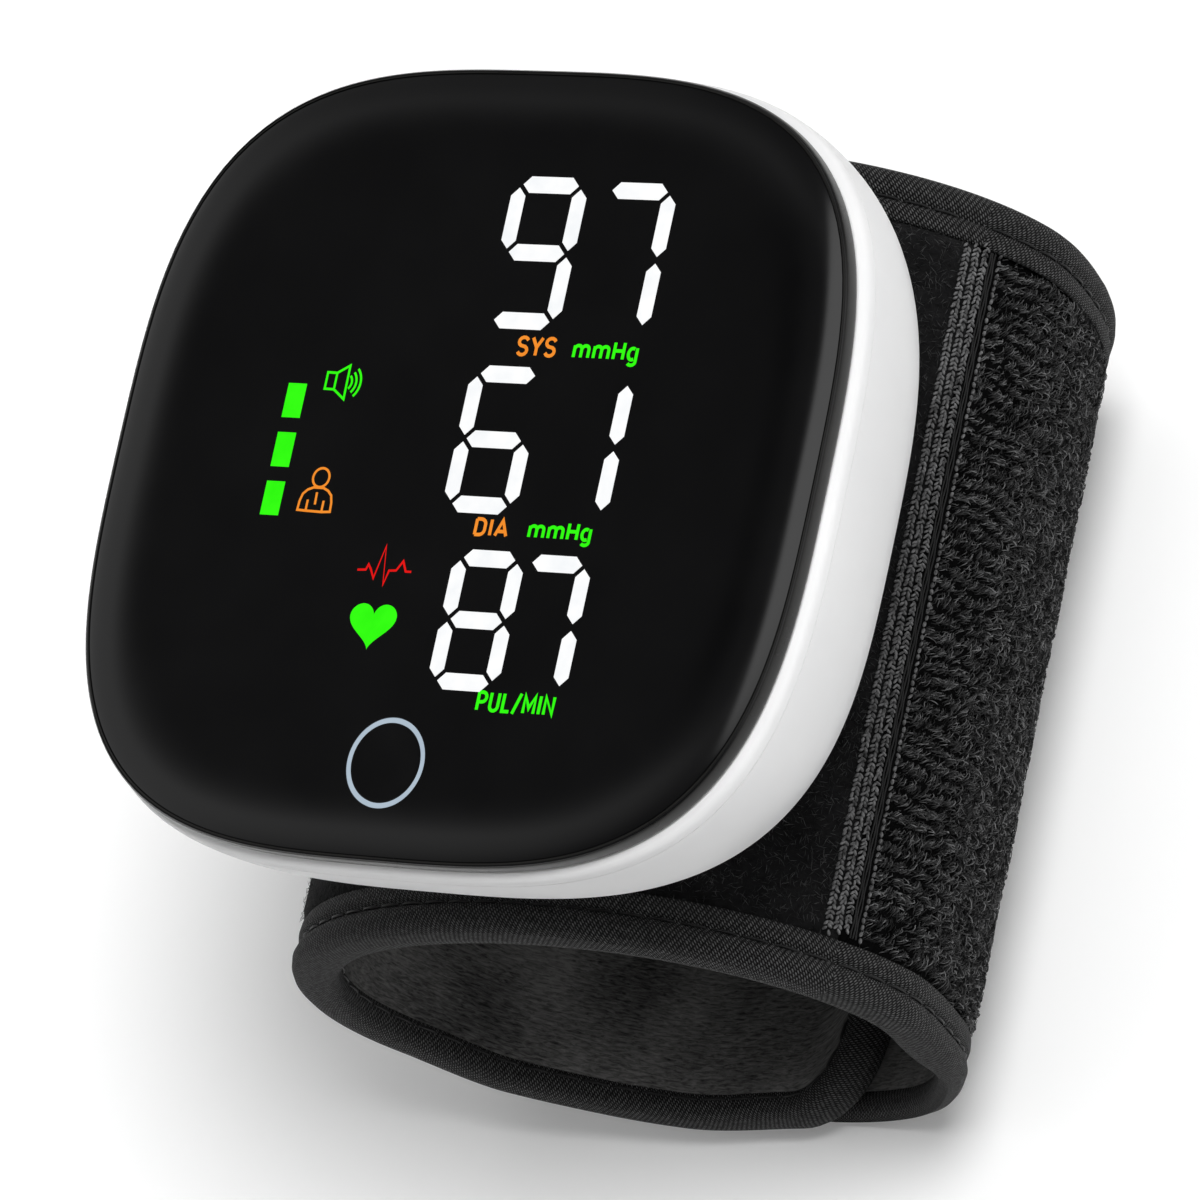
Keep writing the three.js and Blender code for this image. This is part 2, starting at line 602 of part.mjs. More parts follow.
// CUFF: places on it are a distance from the flap's fold, a place along the arm and a depth in from the outer face
const ARC = rad(1) * (CUFF_HALF_W / 2 + CUFF_HALF_H / 4 + CUFF_SAG_H / 4);
function cuffPoint(turn, depth, y) {
  const t = rad(turn);
  const x = (CUFF_HALF_W - depth) * Math.cos(t);
  const halfH = Math.sin(t) > 0 ? CUFF_HALF_H : CUFF_SAG_H;
  return new THREE.Vector3(x, y, CUFF_AXIS_Z + (halfH - depth) * Math.sin(t));
}

// Depths of the plies, from the outer face inwards
const panelEdge = BINDING_DROP + BINDING_T + PLY_GAP;
const stiffenerOut = PANEL_T + PLY_GAP;
const bladderOut = stiffenerOut + STIFFENER_T + PLY_GAP;
const liningOut = bladderOut + BLADDER_T + PLY_GAP;
const wrapFace = liningOut + EDGE_PLY + PLY_GAP + BINDING_T;
const flapLiningOut = FLAP_PANEL_T + PLY_GAP;
const flapFace = flapLiningOut + EDGE_PLY + PLY_GAP + BINDING_T;
const hookOut = flapLiningOut + LINING_T + PLY_GAP;
const tuckDepth = Math.max(hookOut + HOOK_T, flapFace) + FIT;

// The wrap goes from the fold over the top and round to its inner end; the flap goes the other way, outside that end.
const wrap = { way: 1, length: (INNER_END_TURN - HINGE_TURN) * ARC, taper: 0 };
const flap = { way: -1, length: FLAP_SWEEP * ARC, taper: FLAP_TAPER };
const distanceAt = (turn) => (turn - HINGE_TURN) * ARC;
function tuck(turn) {
  const t = THREE.MathUtils.clamp((turn - TUCK_FROM) / (TUCK_TO - TUCK_FROM), 0, 1);
  return tuckDepth * t * t * (3 - 2 * t);
}
function strapPoint(strap, q, y, depth) {
  const turn = HINGE_TURN + (strap.way * q) / ARC;
  return cuffPoint(turn, strap.way > 0 ? depth + tuck(turn) : depth, y);
}
const halfWidth = (strap, q) => CUFF_LENGTH / 2 - (strap.taper * q) / strap.length;

// Half the strap's width at q, drawn `inset` inside its outline, round the corners of its free end.
function edge(strap, q, inset) {
  const past = q - (strap.length - END_CORNER_R);
  if (past <= 0) return halfWidth(strap, q) - inset;
  const r = END_CORNER_R - inset;
  return halfWidth(strap, q) - END_CORNER_R + Math.sqrt(Math.max(r * r - past * past, 0));
}
function span(from, to) {
  const count = Math.max(1, Math.ceil((to - from) / STRAP_STEP));
  return Array.from({ length: count + 1 }, (_, i) => from + ((to - from) * i) / count);
}
function toFreeEnd(strap, from, inset) {
  const start = strap.length - END_CORNER_R;
  const arc = [20, 40, 58, 74, 90].map((angle) => start + (END_CORNER_R - inset) * Math.sin(rad(angle)));
  const bound = [BINDING_W + CROWN_RUN, BINDING_W + PLY_GAP / 2].map((d) => strap.length - d);
  const all = [...span(from, start), ...arc, ...bound].sort((a, b) => a - b);
  return all.filter((q, i) => i === 0 || q - all[i - 1] > 0.05);
}

// A ply between bound edges: thin under the binding, and full between the bindings on its outer or inner face.
function ply(strap, stations, faces) {
  const sections = stations.map((q) => {
    const side = edge(strap, q, BINDING_ROLL + PLY_GAP);
    const full = strap.length - q > BINDING_W + CROWN_RUN - 0.01;
    const foot = full ? edge(strap, q, BINDING_W + PLY_GAP / 2) : 0.8 * side;
    const top = full ? edge(strap, q, BINDING_W + CROWN_RUN) : 0.7 * side;
    const crowned = (thin, thick) => [
      [foot, thin],
      [top, full ? thick : thin + 0.1 * (thick - thin)],
    ];
    const outer = faces.fullOut === undefined ? [] : crowned(faces.out, faces.fullOut);
    const inner = faces.fullIn === undefined ? [] : crowned(faces.in, faces.fullIn);
    const mirrored = (points) => points.map(([y, d]) => [-y, d]);
    return [
      [-side, faces.out],
      ...mirrored(outer),
      ...outer.toReversed(),
      [side, faces.out],
      [side, faces.in],
      ...inner,
      ...mirrored(inner).toReversed(),
      [-side, faces.in],
    ];
  });
  const rings = sections.map((section, i) => section.map(([y, d]) => strapPoint(strap, stations[i], y, d)));
  return loft(rings, sections[0].map(([y, d]) => new THREE.Vector2(y, d)));
}

// A plain band of the strap, `half` wide to each side.
function band(strap, stations, half, out, inside) {
  const section = [[-half, out], [half, out], [half, inside], [-half, inside]];
  const rings = stations.map((q) => section.map(([y, d]) => strapPoint(strap, q, y, d)));
  return loft(rings, section.map(([y, d]) => new THREE.Vector2(y, d)));
}

// The binding tape: a folded strip sewn round the strap's two long edges and its rounded free end.
function binding(strap, from, face) {
  const start = strap.length - END_CORNER_R;
  const path = span(from, start).map((q) => [q, -halfWidth(strap, q), 0, 1]);
  for (const angle of [15, 30, 45, 60, 75, 90]) {
    const s = Math.sin(rad(angle));
    const c = Math.cos(rad(angle));
    const q = start + END_CORNER_R * s;
    path.push([q, -(halfWidth(strap, q) - END_CORNER_R + END_CORNER_R * c), -s, c]);
  }
  const round = [...path, ...path.toReversed().map(([q, y, nq, ny]) => [q, -y, nq, -ny])];
  const shoulder = 0.45;
  const outer = [
    [BINDING_W, BINDING_DROP + 0.12],
    [BINDING_W - 0.4, BINDING_DROP],
    [2 * shoulder, BINDING_DROP],
    [shoulder / 2, BINDING_DROP + shoulder],
    [0, (BINDING_DROP + face) / 2],
    [shoulder / 2, face - shoulder],
    [2 * shoulder, face],
    [BINDING_W - 0.4, face],
    [BINDING_W, face - 0.12],
  ];
  const slot = [
    [BINDING_W, face - BINDING_T],
    [BINDING_ROLL, face - BINDING_T],
    [BINDING_ROLL, BINDING_DROP + BINDING_T],
    [BINDING_W, BINDING_DROP + BINDING_T],
  ];
  const profile = [...outer, ...slot];
  const rings = round.map(([q, y, nq, ny]) => profile.map(([p, d]) => strapPoint(strap, q + p * nq, y + p * ny, d)));
  return loft(rings, profile.map(([p, d]) => new THREE.Vector2(p, d)));
}

// Fixed wrap
const fold = FIT / 2;
const selvedgeAt = distanceAt(SELVEDGE_TURN);
const wrapEnd = toFreeEnd(wrap, selvedgeAt + FIT / 2, BINDING_ROLL + PLY_GAP);
let velvet = solid(ply(wrap, wrapEnd, { out: panelEdge, fullOut: 0, in: PANEL_T })).subtract(solid(portHole));
for (const hole of postHoles) velvet = velvet.subtract(solid(hole));
piece(cuff, "cuff_outer_panel", velvet, looks.velvet);

const loopStations = span(fold, selvedgeAt - FIT / 2);
piece(cuff, "loop_panel", ply(wrap, loopStations, { out: panelEdge, fullOut: 0, in: PANEL_T }), looks.pile);

const stripHalf = CUFF_LENGTH / 2 - BINDING_W - CROWN_RUN;
const stripStations = [-0.5, -0.17, 0.17, 0.5].map((share) => selvedgeAt + share * SELVEDGE_W);
const stripOut = -PLY_GAP / 2 - SELVEDGE_T;
piece(cuff, "loop_selvedge", band(wrap, stripStations, stripHalf, stripOut, -PLY_GAP / 2), looks.woven);

const stiffenerStations = span(distanceAt(STIFFENER_FROM), distanceAt(STIFFENER_TO));
const stiffenerIn = stiffenerOut + STIFFENER_T;
const stiffenerHalf = CUFF_LENGTH / 2 - STIFFENER_INSET;
let stiffener = solid(band(wrap, stiffenerStations, stiffenerHalf, stiffenerOut, stiffenerIn)).subtract(solid(portHole));
const postTop = CUFF_TOP + FIT + SHELL_WALL - FIT;
for (const y of postY) {
  stiffener = stiffener
    .add(solid(rod(POST_R, CUFF_TOP - stiffenerIn + STIFFENER_T / 2, postTop).translate(0, y, 0)))
    .subtract(solid(rod(ANCHOR_R + SLIP / 2, postTop - ANCHOR_L, postTop + 1, 12).translate(0, y, 0)));
}
piece(cuff, "cuff_stiffener", stiffener, looks.film);
postY.forEach((y, i) => {
  const anchor = piece(cuff, `anchor_screw_${i + 1}`, screw(POST_HEAD_R, ANCHOR_HEAD_H, ANCHOR_R, ANCHOR_L - FIT), looks.steel);
  anchor.rotation.x = Math.PI;
  anchor.position.set(0, y, crown + FIT / 2);
});

const bladderStations = span(distanceAt(BLADDER_FROM), distanceAt(BLADDER_TO));
const bladderHalf = CUFF_LENGTH / 2 - BLADDER_INSET;
const nozzleFoot = teeFrom - FIT;
const portTurn = THREE.MathUtils.radToDeg(Math.acos(portX / (CUFF_HALF_W - bladderOut)));
const portFoot = cuffPoint(portTurn, bladderOut + BLADDER_T * 0.6, 0).z;
const bladder = solid(band(wrap, bladderStations, bladderHalf, bladderOut, bladderOut + BLADDER_T))
  .add(solid(rod(PORT_R, portFoot, nozzleFoot, 18).translate(portX, portY, 0)))
  .add(solid(rod(NOZZLE_R, portFoot, nozzleFoot + NOZZLE_L, 14).translate(portX, portY, 0)))
  .subtract(solid(rod(NOZZLE_BORE, portFoot, nozzleFoot + NOZZLE_L + 1, 10).translate(portX, portY, 0)));
piece(cuff, "cuff_bladder", bladder, looks.film);

const liningStations = toFreeEnd(wrap, fold, BINDING_ROLL + PLY_GAP);
const wrapLining = { out: liningOut, in: liningOut + EDGE_PLY, fullIn: liningOut + LINING_T };
piece(cuff, "cuff_lining", ply(wrap, liningStations, wrapLining), looks.lining);
piece(cuff, "cuff_binding", binding(wrap, fold, wrapFace), looks.woven);

// Flap, flattened where the part rests on it
const rest = above(0);
const flapStations = toFreeEnd(flap, fold, BINDING_ROLL + PLY_GAP);
const flapPanel = solid(ply(flap, flapStations, { out: panelEdge, fullOut: 0, in: FLAP_PANEL_T })).intersect(rest);
piece(cuff, "flap_loop_panel", flapPanel, looks.pile);
const flapLining = { out: flapLiningOut, in: flapLiningOut + EDGE_PLY, fullIn: flapLiningOut + LINING_T };
piece(cuff, "flap_lining", ply(flap, flapStations, flapLining), looks.lining);
piece(cuff, "flap_binding", solid(binding(flap, fold, flapFace)).intersect(rest), looks.woven);
const hookStations = span(flap.length - HOOK_END_INSET - HOOK_L, flap.length - HOOK_END_INSET);
piece(cuff, "flap_hook_patch", band(flap, hookStations, HOOK_W / 2, hookOut, hookOut + HOOK_T), looks.black);

export default object;
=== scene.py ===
import math
import bpy
import numpy as np
from mathutils import Matrix


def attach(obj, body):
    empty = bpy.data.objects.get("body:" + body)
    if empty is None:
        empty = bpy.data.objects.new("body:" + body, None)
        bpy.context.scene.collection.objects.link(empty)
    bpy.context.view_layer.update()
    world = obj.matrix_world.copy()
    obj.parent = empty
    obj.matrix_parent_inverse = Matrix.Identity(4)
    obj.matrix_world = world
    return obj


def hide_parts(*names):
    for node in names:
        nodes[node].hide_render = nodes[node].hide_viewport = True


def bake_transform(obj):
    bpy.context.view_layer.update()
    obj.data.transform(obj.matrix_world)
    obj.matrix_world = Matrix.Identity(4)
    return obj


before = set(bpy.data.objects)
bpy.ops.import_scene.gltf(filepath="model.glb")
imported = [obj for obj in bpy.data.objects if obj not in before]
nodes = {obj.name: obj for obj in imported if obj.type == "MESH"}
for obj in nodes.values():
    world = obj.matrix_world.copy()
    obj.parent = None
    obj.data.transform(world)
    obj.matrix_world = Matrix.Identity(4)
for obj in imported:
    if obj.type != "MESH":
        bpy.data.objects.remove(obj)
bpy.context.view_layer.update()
scene = bpy.context.scene
scene.view_settings.view_transform = "Standard"
rng = np.random.default_rng(11)
mm = 0.001
print("frame loaded,", len(nodes), "nodes")


def unit(v):
    return v / (np.linalg.norm(v, axis=-1, keepdims=True) + 1e-12)


def placed(made, axes, at=(0, 0, 0)):
    # an object set in the scene at a place, with its own axes
    turn = np.eye(4)
    turn[:3, :3], turn[:3, 3] = np.stack(axes, 1), at
    made.matrix_world = Matrix(turn.tolist())
    scene.collection.objects.link(made)
    return made


# camera, long lens, from the right and above
shot = {
    "right": (0.8355, 0.2011, -0.5113),
    "back": (0.5494, -0.3105, 0.7757),
    "at": (471.9, -270.0, 714.6),
    "lens": 288.1,
    "sensor": 36.0,
    "far": 20.0,
}
back = unit(np.array(shot["back"]))
right = unit(np.array(shot["right"]) - back * np.dot(shot["right"], back))
lens = bpy.data.cameras.new("camera")
lens.lens, lens.sensor_width, lens.clip_end = shot["lens"], shot["sensor"], shot["far"]
scene.camera = placed(bpy.data.objects.new("camera", lens), [right, np.cross(back, right), back],
                      np.array(shot["at"]) * mm)


# mesh makers

def gridQuads(rows, cols, closeRows=False, closeCols=False):
    # quads of a rows by cols grid, and the row and column of each corner counted without wrapping
    r, c = np.meshgrid(np.arange(rows if closeRows else rows - 1),
                       np.arange(cols if closeCols else cols - 1), indexing="ij")
    cornerRow = np.stack([r, r, r + 1, r + 1], -1).reshape(-1, 4)
    cornerCol = np.stack([c, c + 1, c + 1, c], -1).reshape(-1, 4)
    return (cornerRow % rows) * cols + cornerCol % cols, cornerRow, cornerCol


def makeMesh(points, quads, caps=(), uv=None, sharp=40):
    # the sign of the enclosed volume tells whether the faces point outwards
    points = np.asarray(points, float).reshape(-1, 3)
    fans = [np.array([[cap[0], cap[i], cap[i + 1]] for i in range(1, len(cap) - 1)]) for cap in caps]
    tris = np.concatenate([quads[:, [0, 1, 2]], quads[:, [0, 2, 3]], *fans])
    centred = points - points.mean(0)
    a, b, c = (centred[tris[:, i]] for i in range(3))
    faces = quads.tolist() + [list(map(int, cap)) for cap in caps]
    if (a * np.cross(b, c)).sum() < 0:
        faces = [face[::-1] for face in faces]
        uv = None if uv is None else uv[:, ::-1]
    mesh = bpy.data.meshes.new("made")
    mesh.from_pydata((points * mm).tolist(), [], faces)
    if uv is not None:
        layer = mesh.uv_layers.new(name="cloth")
        corners = np.zeros((len(mesh.loops), 2), np.float32)
        corners[: uv.shape[0] * 4] = uv.reshape(-1, 2)
        layer.data.foreach_set("uv", corners.ravel())
    mesh.polygons.foreach_set("use_smooth", np.ones(len(mesh.polygons), bool))
    mesh.set_sharp_from_angle(angle=math.radians(sharp))
    return mesh


def sweep(rings, closed=False, along=None, across=None, sharp=40):
    # a closed profile carried along a path: rings[i, j] is profile point j at path station i
    stations, count = rings.shape[:2]
    quads, cornerRow, cornerCol = gridQuads(stations, count, closed, True)
    caps = [] if closed else [np.arange(count), (stations - 1) * count + np.arange(count)[::-1]]
    uv = None
    if along is not None:
        uv = np.stack([np.asarray(along)[cornerRow], np.asarray(across)[cornerCol]], -1)
    return makeMesh(rings, quads, caps, uv, sharp)


def tubes(count, steps, sides):
    # quads and end caps of many tubes of one kind, and the row of each corner of one of them
    quads, cornerRow, _ = gridQuads(steps, sides, False, True)
    quads = (quads[None] + (np.arange(count) * steps * sides)[:, None, None]).reshape(-1, 4)
    first = np.arange(count)[:, None] * steps * sides + np.arange(sides)
    return quads, [*first, *(first + (steps - 1) * sides)[:, ::-1]], cornerRow


def piece(name, mesh, look, body="monitor", replaces=()):
    # a piece that rides on a body; a piece that lies across the fold has none, and its place is baked into
    # its mesh
    mesh.name = name
    made = bpy.data.objects.new(name, mesh)
    scene.collection.objects.link(made)
    mesh.materials.append(looks[look])
    if replaces:
        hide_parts(*replaces)
    if body:
        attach(made, body)
    else:
        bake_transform(made)
    return made


def smooth(low, high, x):
    t = np.clip((np.asarray(x, float) - low) / (high - low), 0, 1)
    return t * t * (3 - 2 * t)


def wave(x, y, period, seed):
    # a few crossed sines, an even ripple between -1 and 1
    turn = np.random.default_rng(seed).uniform(0, 2 * math.pi, (5, 2))
    x, y = x / period, y / period
    total = 0
    for k, (angle, phase) in enumerate(turn):
        way = x * math.cos(angle) + y * math.sin(angle)
        total = total + np.sin(2 * math.pi * (1 + 0.23 * k) * way + phase)
    return total / len(turn)


def wholeTurn(count):
    return np.linspace(0, 2 * math.pi, count, endpoint=False)


# node helpers

def feed(tree, value, socket):
    # another node's output is linked, and anything else is set
    if isinstance(value, bpy.types.NodeSocket):
        tree.links.new(value, socket)
    else:
        socket.default_value = value


def addNode(tree, kind, **values):
    # a key with a small first letter is a setting, and the others are inputs
    made = tree.nodes.new("ShaderNode" + kind)
    for key, value in values.items():
        if key[0].islower():
            setattr(made, key, value)
        else:
            feed(tree, value, made.inputs[key.replace("_", " ")])
    return made


def mathIn(tree):
    # gives a function that adds a math node to the tree and returns its output
    def add(operation, *values):
        made = addNode(tree, "Math", operation=operation)
        for socket, value in zip(made.inputs, values):
            feed(tree, value, socket)
        return made.outputs[0]

    return add


def mixed(tree, share, first, second):
    made = addNode(tree, "Mix", data_type="RGBA")
    for k, value in ((0, share), (6, (*first, 1)), (7, (*second, 1))):
        feed(tree, value, made.inputs[k])
    return made.outputs[2]


def newGroup(name, **knobs):
    # takes a place and some numbers, and gives a height and a mask
    tree = bpy.data.node_groups.new(name, "ShaderNodeTree")
    tree.interface.new_socket("Vector", in_out="INPUT", socket_type="NodeSocketVector")
    for label, start in knobs.items():
        socket = tree.interface.new_socket(label, in_out="INPUT", socket_type="NodeSocketFloat")
        socket.default_value = start
    for label in ("Height", "Mask"):
        tree.interface.new_socket(label, in_out="OUTPUT", socket_type="NodeSocketFloat")
    enter, leave = tree.nodes.new("NodeGroupInput").outputs, tree.nodes.new("NodeGroupOutput").inputs

    def close(height, mask):
        tree.links.new(height, leave["Height"])
        tree.links.new(mask, leave["Mask"])
        return tree

    return tree, enter, mathIn(tree), close


def grainGroup():
    # fine moulding grain: small noise for the height, broad noise for a mask
    tree, enter, _, close = newGroup("mouldGrain", Fine=3000.0, Broad=60.0)
    return close(*(addNode(tree, "TexNoise", Vector=enter["Vector"], Scale=enter[label], Detail=detail,
                           Roughness=0.55).outputs[0] for label, detail in (("Fine", 2.0), ("Broad", 3.0))))


def twillGroup():
    # woven tape in millimetres of the cloth map: slanted ribs, each broken into short floats
    tree, enter, do, close = newGroup("twillWeave", Rib=0.42, Float=0.55, Slant=0.6)
    u, v, _ = addNode(tree, "SeparateXYZ", Vector=enter["Vector"]).outputs
    rib = do("DIVIDE", do("ADD", u, do("MULTIPLY", v, enter["Slant"])), enter["Rib"])
    half = do("MULTIPLY", do("FLOOR", rib), 0.5)
    along = do("ADD", do("DIVIDE", v, enter["Float"]), half)
    ridge, knot = (do("ABSOLUTE", do("SINE", do("MULTIPLY", way, math.pi))) for way in (rib, along))
    height = do("MULTIPLY", do("POWER", ridge, 1.3), do("POWER", knot, 0.8))
    # the weave's tone is made uneven in patches
    patchy = addNode(tree, "TexNoise", Vector=enter["Vector"], Scale=1.9, Detail=4.0, Roughness=0.7).outputs[0]
    uneven = do("ADD", do("MULTIPLY", patchy, 1.8), -0.1)
    # the colour mask follows the height, so the floats' tops are painted light and the grooves between them
    # painted dark: painted shade
    return close(height, do("MULTIPLY", height, uneven))


def napGroup():
    # brushed nap: streaks drawn along the cloth, over soft blotches
    tree, enter, do, close = newGroup("brushedNap", Streak=0.35, Across=1.6, Blotch=0.07)
    u, v, _ = addNode(tree, "SeparateXYZ", Vector=enter["Vector"]).outputs
    drawn = addNode(tree, "CombineXYZ", X=do("MULTIPLY", u, enter["Streak"]),
                    Y=do("MULTIPLY", v, enter["Across"])).outputs[0]
    streak = addNode(tree, "TexNoise", Vector=drawn, Scale=1.0, Detail=5.0, Roughness=0.65,
                     Distortion=0.6).outputs[0]
    blotch = addNode(tree, "TexNoise", Vector=enter["Vector"], Scale=enter["Blotch"], Detail=2.0).outputs[0]
    return close(streak, do("MULTIPLY", streak, do("ADD", blotch, 0.45)))


def strandGroup():
    # tone of a strand from its own map: across is a lot drawn for each strand, up runs from root to tip; the
    # arch along it paints the strand darker towards its root and a little towards its tip, painted shade,
    # kept above the root knob's share
    tree, enter, do, close = newGroup("strandToneAndRootShade", Rare=2.0, Root=0.2)
    u, v, _ = addNode(tree, "SeparateXYZ", Vector=enter["Vector"]).outputs
    # painted shade along each strand, darkest at the root
    arch = do("SINE", do("MULTIPLY", v, 0.8 * math.pi))
    return close(arch, do("MULTIPLY", do("POWER", u, enter["Rare"]), do("MAXIMUM", arch, enter["Root"])))


grain, twill, nap, strand = grainGroup(), twillGroup(), napGroup(), strandGroup()


def material(name, dark, light, effect, knobs, rough, span, relief=None, gloss=0.5, glow=False, **fixed):
    # dark and light are mixed by the effect's mask over a span, which also sets the roughness;
    # relief is the bump's strength and its depth in millimetres
    made = bpy.data.materials.new(name)
    made.use_nodes = True
    tree = made.node_tree
    shader = tree.nodes["Principled BSDF"].inputs
    if effect is grain:
        place = addNode(tree, "TexCoord").outputs["Object"]
    else:
        place = addNode(tree, "UVMap", uv_map="cloth").outputs[0]
    group = addNode(tree, "Group", node_tree=effect, Vector=place, **knobs).outputs
    share = addNode(tree, "MapRange", Value=group["Mask"], From_Min=span[0], From_Max=span[1]).outputs[0]
    feed(tree, mixed(tree, share, dark, light), shader["Emission Color" if glow else "Base Color"])
    level = addNode(tree, "MapRange", Value=share, To_Min=rough[0], To_Max=rough[1])
    feed(tree, level.outputs[0], shader["Roughness"])
    feed(tree, gloss, shader["Specular IOR Level"])
    if relief:
        bump = addNode(tree, "Bump", Strength=relief[0], Distance=relief[1] * mm, Height=group["Height"])
        feed(tree, bump.outputs[0], shader["Normal"])
    for key, value in fixed.items():
        feed(tree, value, shader[key.replace("_", " ")])
    return made


def moulded(name, dark, light, fine, broad, rough, relief=None, **fixed):
    knobs = {"Fine": fine, "Broad": broad}
    return material(name, dark, light, grain, knobs, rough, (0.3, 0.7), relief, **fixed)


def lit(name, dark, light, base, broad=500.0):
    return moulded(name, dark, light, 900.0, broad, (0.4, 0.5), glow=True, Emission_Strength=1.0,
                   gloss=0.0, Base_Color=(*base, 1))


# moulded looks give the scale of the fine and the broad grain, then roughness and relief
looks = {
    "window": moulded(
        "smokedWindow", (0.0014, 0.0014, 0.0016), (0.0024, 0.0024, 0.0026), 900.0, 90.0, (0.10, 0.14)),
    "edge": moulded(
        "satinEdge", (0.007, 0.0068, 0.0064), (0.012, 0.0117, 0.011), 2600.0, 200.0, (0.26, 0.32),
        (0.03, 0.02), gloss=0.24),
    "button": moulded(
        "buttonGloss", (0.0016, 0.0016, 0.0018), (0.0026, 0.0026, 0.0028), 1500.0, 200.0, (0.11, 0.15)),
    "case": moulded(
        "whiteCase", (0.77, 0.77, 0.775), (0.82, 0.82, 0.822), 4500.0, 70.0, (0.34, 0.42), (0.10, 0.02)),
    "litWhite": lit("litWhite", (0.9, 0.92, 0.94), (1.0, 1.0, 1.0), (0.02, 0.02, 0.02)),
    "litGreen": lit("litGreen", (0.025, 0.92, 0.004), (0.035, 1.0, 0.006), (0.004, 0.02, 0.002)),
    "litOrange": lit("litOrange", (0.86, 0.24, 0.02), (0.93, 0.29, 0.03), (0.02, 0.01, 0.002)),
    "litRed": lit("litRed", (0.72, 0.006, 0.006), (0.82, 0.01, 0.008), (0.02, 0.002, 0.002)),
    "ring": lit("lightRing", (0.38, 0.47, 0.56), (0.43, 0.52, 0.61), (0.02, 0.02, 0.02), 400.0),
    "velvet": material(
        "shortVelvet", (0.001, 0.001, 0.0011), (0.009, 0.009, 0.0093), nap,
        {"Streak": 0.9, "Across": 1.3, "Blotch": 0.16}, (0.9, 1.0), (0.22, 0.66), (0.8, 0.35), gloss=0.08,
        Sheen_Weight=0.05, Sheen_Roughness=0.5),
    # the loops' ground is painted far darker than the yarns, painted shade between the curls
    "loopGround": material(
        "loopGround", (0.0006, 0.0006, 0.0006), (0.003, 0.003, 0.0031), nap,
        {"Streak": 1.3, "Across": 0.9, "Blotch": 0.3}, (0.9, 1.0), (0.25, 0.7), (0.9, 0.4), gloss=0.06),
    # curls and hairs: a random tone for each strand, and painted shade towards its root
    "loopYarn": material(
        "loopYarn", (0.004, 0.004, 0.0042), (0.165, 0.166, 0.168), strand, {"Rare": 3.4, "Root": 0.12},
        (0.6, 0.45), (0.0, 1.0), gloss=0.35),
    "hair": material(
        "velvetHair", (0.003, 0.003, 0.0031), (0.1, 0.1, 0.101), strand, {"Rare": 2.6, "Root": 0.4},
        (0.7, 0.5), (0.0, 1.0), gloss=0.2),
    "tape": material(
        "bindingTape", (0.001, 0.001, 0.0011), (0.12, 0.12, 0.121), twill,
        {"Rib": 0.25, "Float": 0.44, "Slant": 0.6}, (0.85, 0.6), (0.25, 0.9), (1.0, 0.16), gloss=0.28),
    "knit": moulded(
        "knitYarn", (0.02, 0.02, 0.0203), (0.17, 0.17, 0.172), 3600.0, 1500.0, (0.6, 0.8), (0.4, 0.08),
        gloss=0.25),
    "thread": moulded(
        "sewingThread", (0.004, 0.004, 0.0042), (0.012, 0.012, 0.0122), 4200.0, 700.0, (0.45, 0.6),
        (0.3, 0.05), gloss=0.3),
    "lining": material(
        "brushedLining", (0.01, 0.01, 0.0101), (0.14, 0.138, 0.135), nap,
        {"Streak": 0.75, "Across": 4.0, "Blotch": 0.09}, (0.85, 1.0), (0.28, 0.68), (0.3, 0.1), gloss=0.12,
        Sheen_Weight=0.06, Sheen_Roughness=0.5),
    "hooks": moulded(
        "hookTape", (0.008, 0.008, 0.0085), (0.02, 0.02, 0.0205), 3000.0, 500.0, (0.35, 0.5), (0.2, 0.05)),
    "board": moulded(
        "circuitBoard", (0.006, 0.05, 0.02), (0.012, 0.085, 0.035), 2000.0, 350.0, (0.4, 0.55),
        (0.15, 0.04)),
    "moulding": moulded(
        "blackMoulding", (0.008, 0.008, 0.0083), (0.016, 0.016, 0.0165), 2600.0, 200.0, (0.45, 0.6),
        (0.2, 0.03)),
    "steel": moulded(
        "brightSteel", (0.42, 0.43, 0.44), (0.56, 0.565, 0.57), 2600.0, 300.0, (0.24, 0.36), (0.08, 0.02),
        Metallic=1.0),
    "brass": moulded(
        "turnedBrass", (0.42, 0.27, 0.06), (0.55, 0.37, 0.1), 2600.0, 300.0, (0.26, 0.38), (0.08, 0.02),
        Metallic=1.0),
    "silicone": moulded(
        "airSilicone", (0.6, 0.59, 0.55), (0.7, 0.69, 0.65), 1800.0, 200.0, (0.55, 0.7), (0.1, 0.03)),
    "foil": moulded(
        "cellFoil", (0.26, 0.29, 0.33), (0.38, 0.41, 0.45), 900.0, 150.0, (0.3, 0.45), (0.25, 0.06),
        Metallic=0.5),
    "film": moulded(
        "darkFilm", (0.02, 0.021, 0.024), (0.045, 0.047, 0.052), 1500.0, 150.0, (0.4, 0.55), (0.15, 0.04)),
}
print("materials ready,", len(looks))

# floor, world and lamps

stage = {"floor": 3.0, "floorWhite": 0.98, "floorBounce": 0.62, "lift": 0.05, "sky": 0.23}
